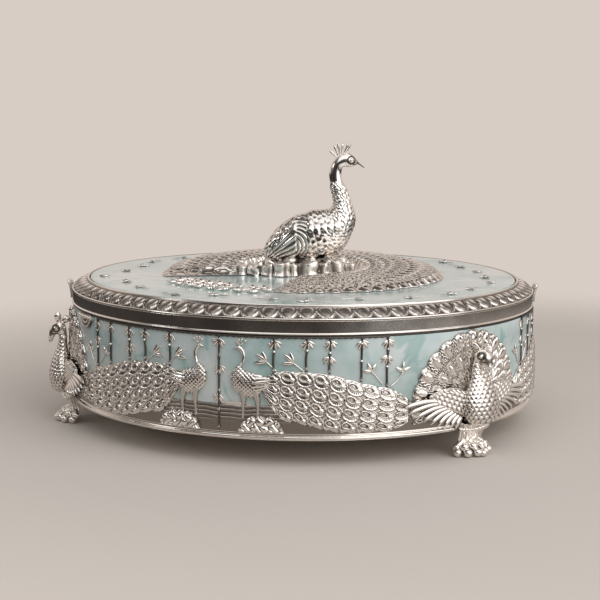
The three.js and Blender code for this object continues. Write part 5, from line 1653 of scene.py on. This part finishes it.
# %% Lamps
SOFTBOXES = [("softbox_above", (0.1, -0.7, 1.4), 2.3, 17), ("softbox_left", (-1.3, -0.5, 0.6), 0.35, 1.5),
             ("softbox_right", (1.2, -1.0, 0.8), 2.1, 15)]
LIT_POINT = Vector((0, 0, 0.05))


def softbox(name, place, size, power):
    """A square area lamp that faces the box."""
    lamp = bpy.data.lights.new(name, "AREA")
    lamp.size, lamp.energy = size, power
    shell = bpy.data.objects.new(name, lamp)
    bpy.context.scene.collection.objects.link(shell)
    shell.location = spun(place, LID_TURN)
    shell.rotation_euler = (LIT_POINT - shell.location).to_track_quat("-Z", "Y").to_euler()


for box in SOFTBOXES:
    softbox(*box)
print("lamps, W:", {name: power for name, _, _, power in SOFTBOXES})

# %% Sky
BACKDROP = "#d8cdc5"
# Colours by how steeply a ray climbs: its z is 0 when level and 1 straight up.
ROOM_STOPS = [(0.0, "#3c3937"), (0.07, "#b3aeaa"), (0.3, "#e2dfdb"), (0.58, "#b8b4b0"), (0.78, "#5f5a56"),
              (1.0, "#4f4a47")]
world = bpy.data.worlds.new("studio")
bpy.context.scene.world = world
world.use_nodes = True
sky = world.node_tree
ray = add(sky, "ShaderNodeTexCoord").outputs["Generated"]
up = add(sky, "ShaderNodeSeparateXYZ", {"Vector": ray}).outputs["Z"]


def facing(direction, start, stop, most=1.0):
    """A share that grows from nought to most as a ray turns toward a level direction.

    It follows the dot product of the two, from start to stop.
    """
    way = spun(direction, LID_TURN).tolist()
    toward = add(sky, "ShaderNodeVectorMath", {0: ray, 1: way}, operation="DOT_PRODUCT").outputs["Value"]
    return add(sky, "ShaderNodeMapRange", {
        "Value": toward, "From Min": start, "From Max": stop, "To Max": most},
        interpolation_type="SMOOTHSTEP").outputs["Result"]


above = add(sky, "ShaderNodeMapRange", {"Value": up, "From Min": -0.06, "From Max": 0.0}).outputs["Result"]
under = add(sky, "ShaderNodeMapRange", {"Value": up, "From Min": 0.85, "From Max": 0.6}).outputs["Result"]
fence = add(sky, "ShaderNodeMath", {0: above, 1: under}, operation="MULTIPLY").outputs[0]
behind = add(sky, "ShaderNodeMath", {0: facing([0, 1, 0], 0.0, 0.45), 1: fence},
             operation="MULTIPLY").outputs[0]
path = add(sky, "ShaderNodeLightPath").outputs
seen = add(sky, "ShaderNodeMath", {0: path["Is Camera Ray"], 1: path["Is Transmission Ray"]},
           operation="MAXIMUM").outputs[0]
layers = [(facing([-0.85, -0.53, 0], 0.15, 0.8, 0.75), "#35312f"),  # the room's dark left side
          (facing([-0.4, -0.9, 0], 0.6, 0.97, 0.75), "#2e2a28"),  # its dark end behind the camera
          (behind, BACKDROP), (seen, BACKDROP)]
colour = add(sky, "ShaderNodeValToRGB", {"Fac": up}, ROOM_STOPS).outputs["Color"]
for share, code in layers:
    colour = add(sky, "ShaderNodeMix", {"Factor": share, "A": colour, "B": linear(code)},
                 data_type="RGBA").outputs["Result"]
feed(sky, sky.nodes["Background"], {"Color": colour, "Strength": 1.0})
bpy.context.scene.view_settings.view_transform = "Standard"
print("sky layers:", len(layers), "over a room of", len(ROOM_STOPS), "colours")
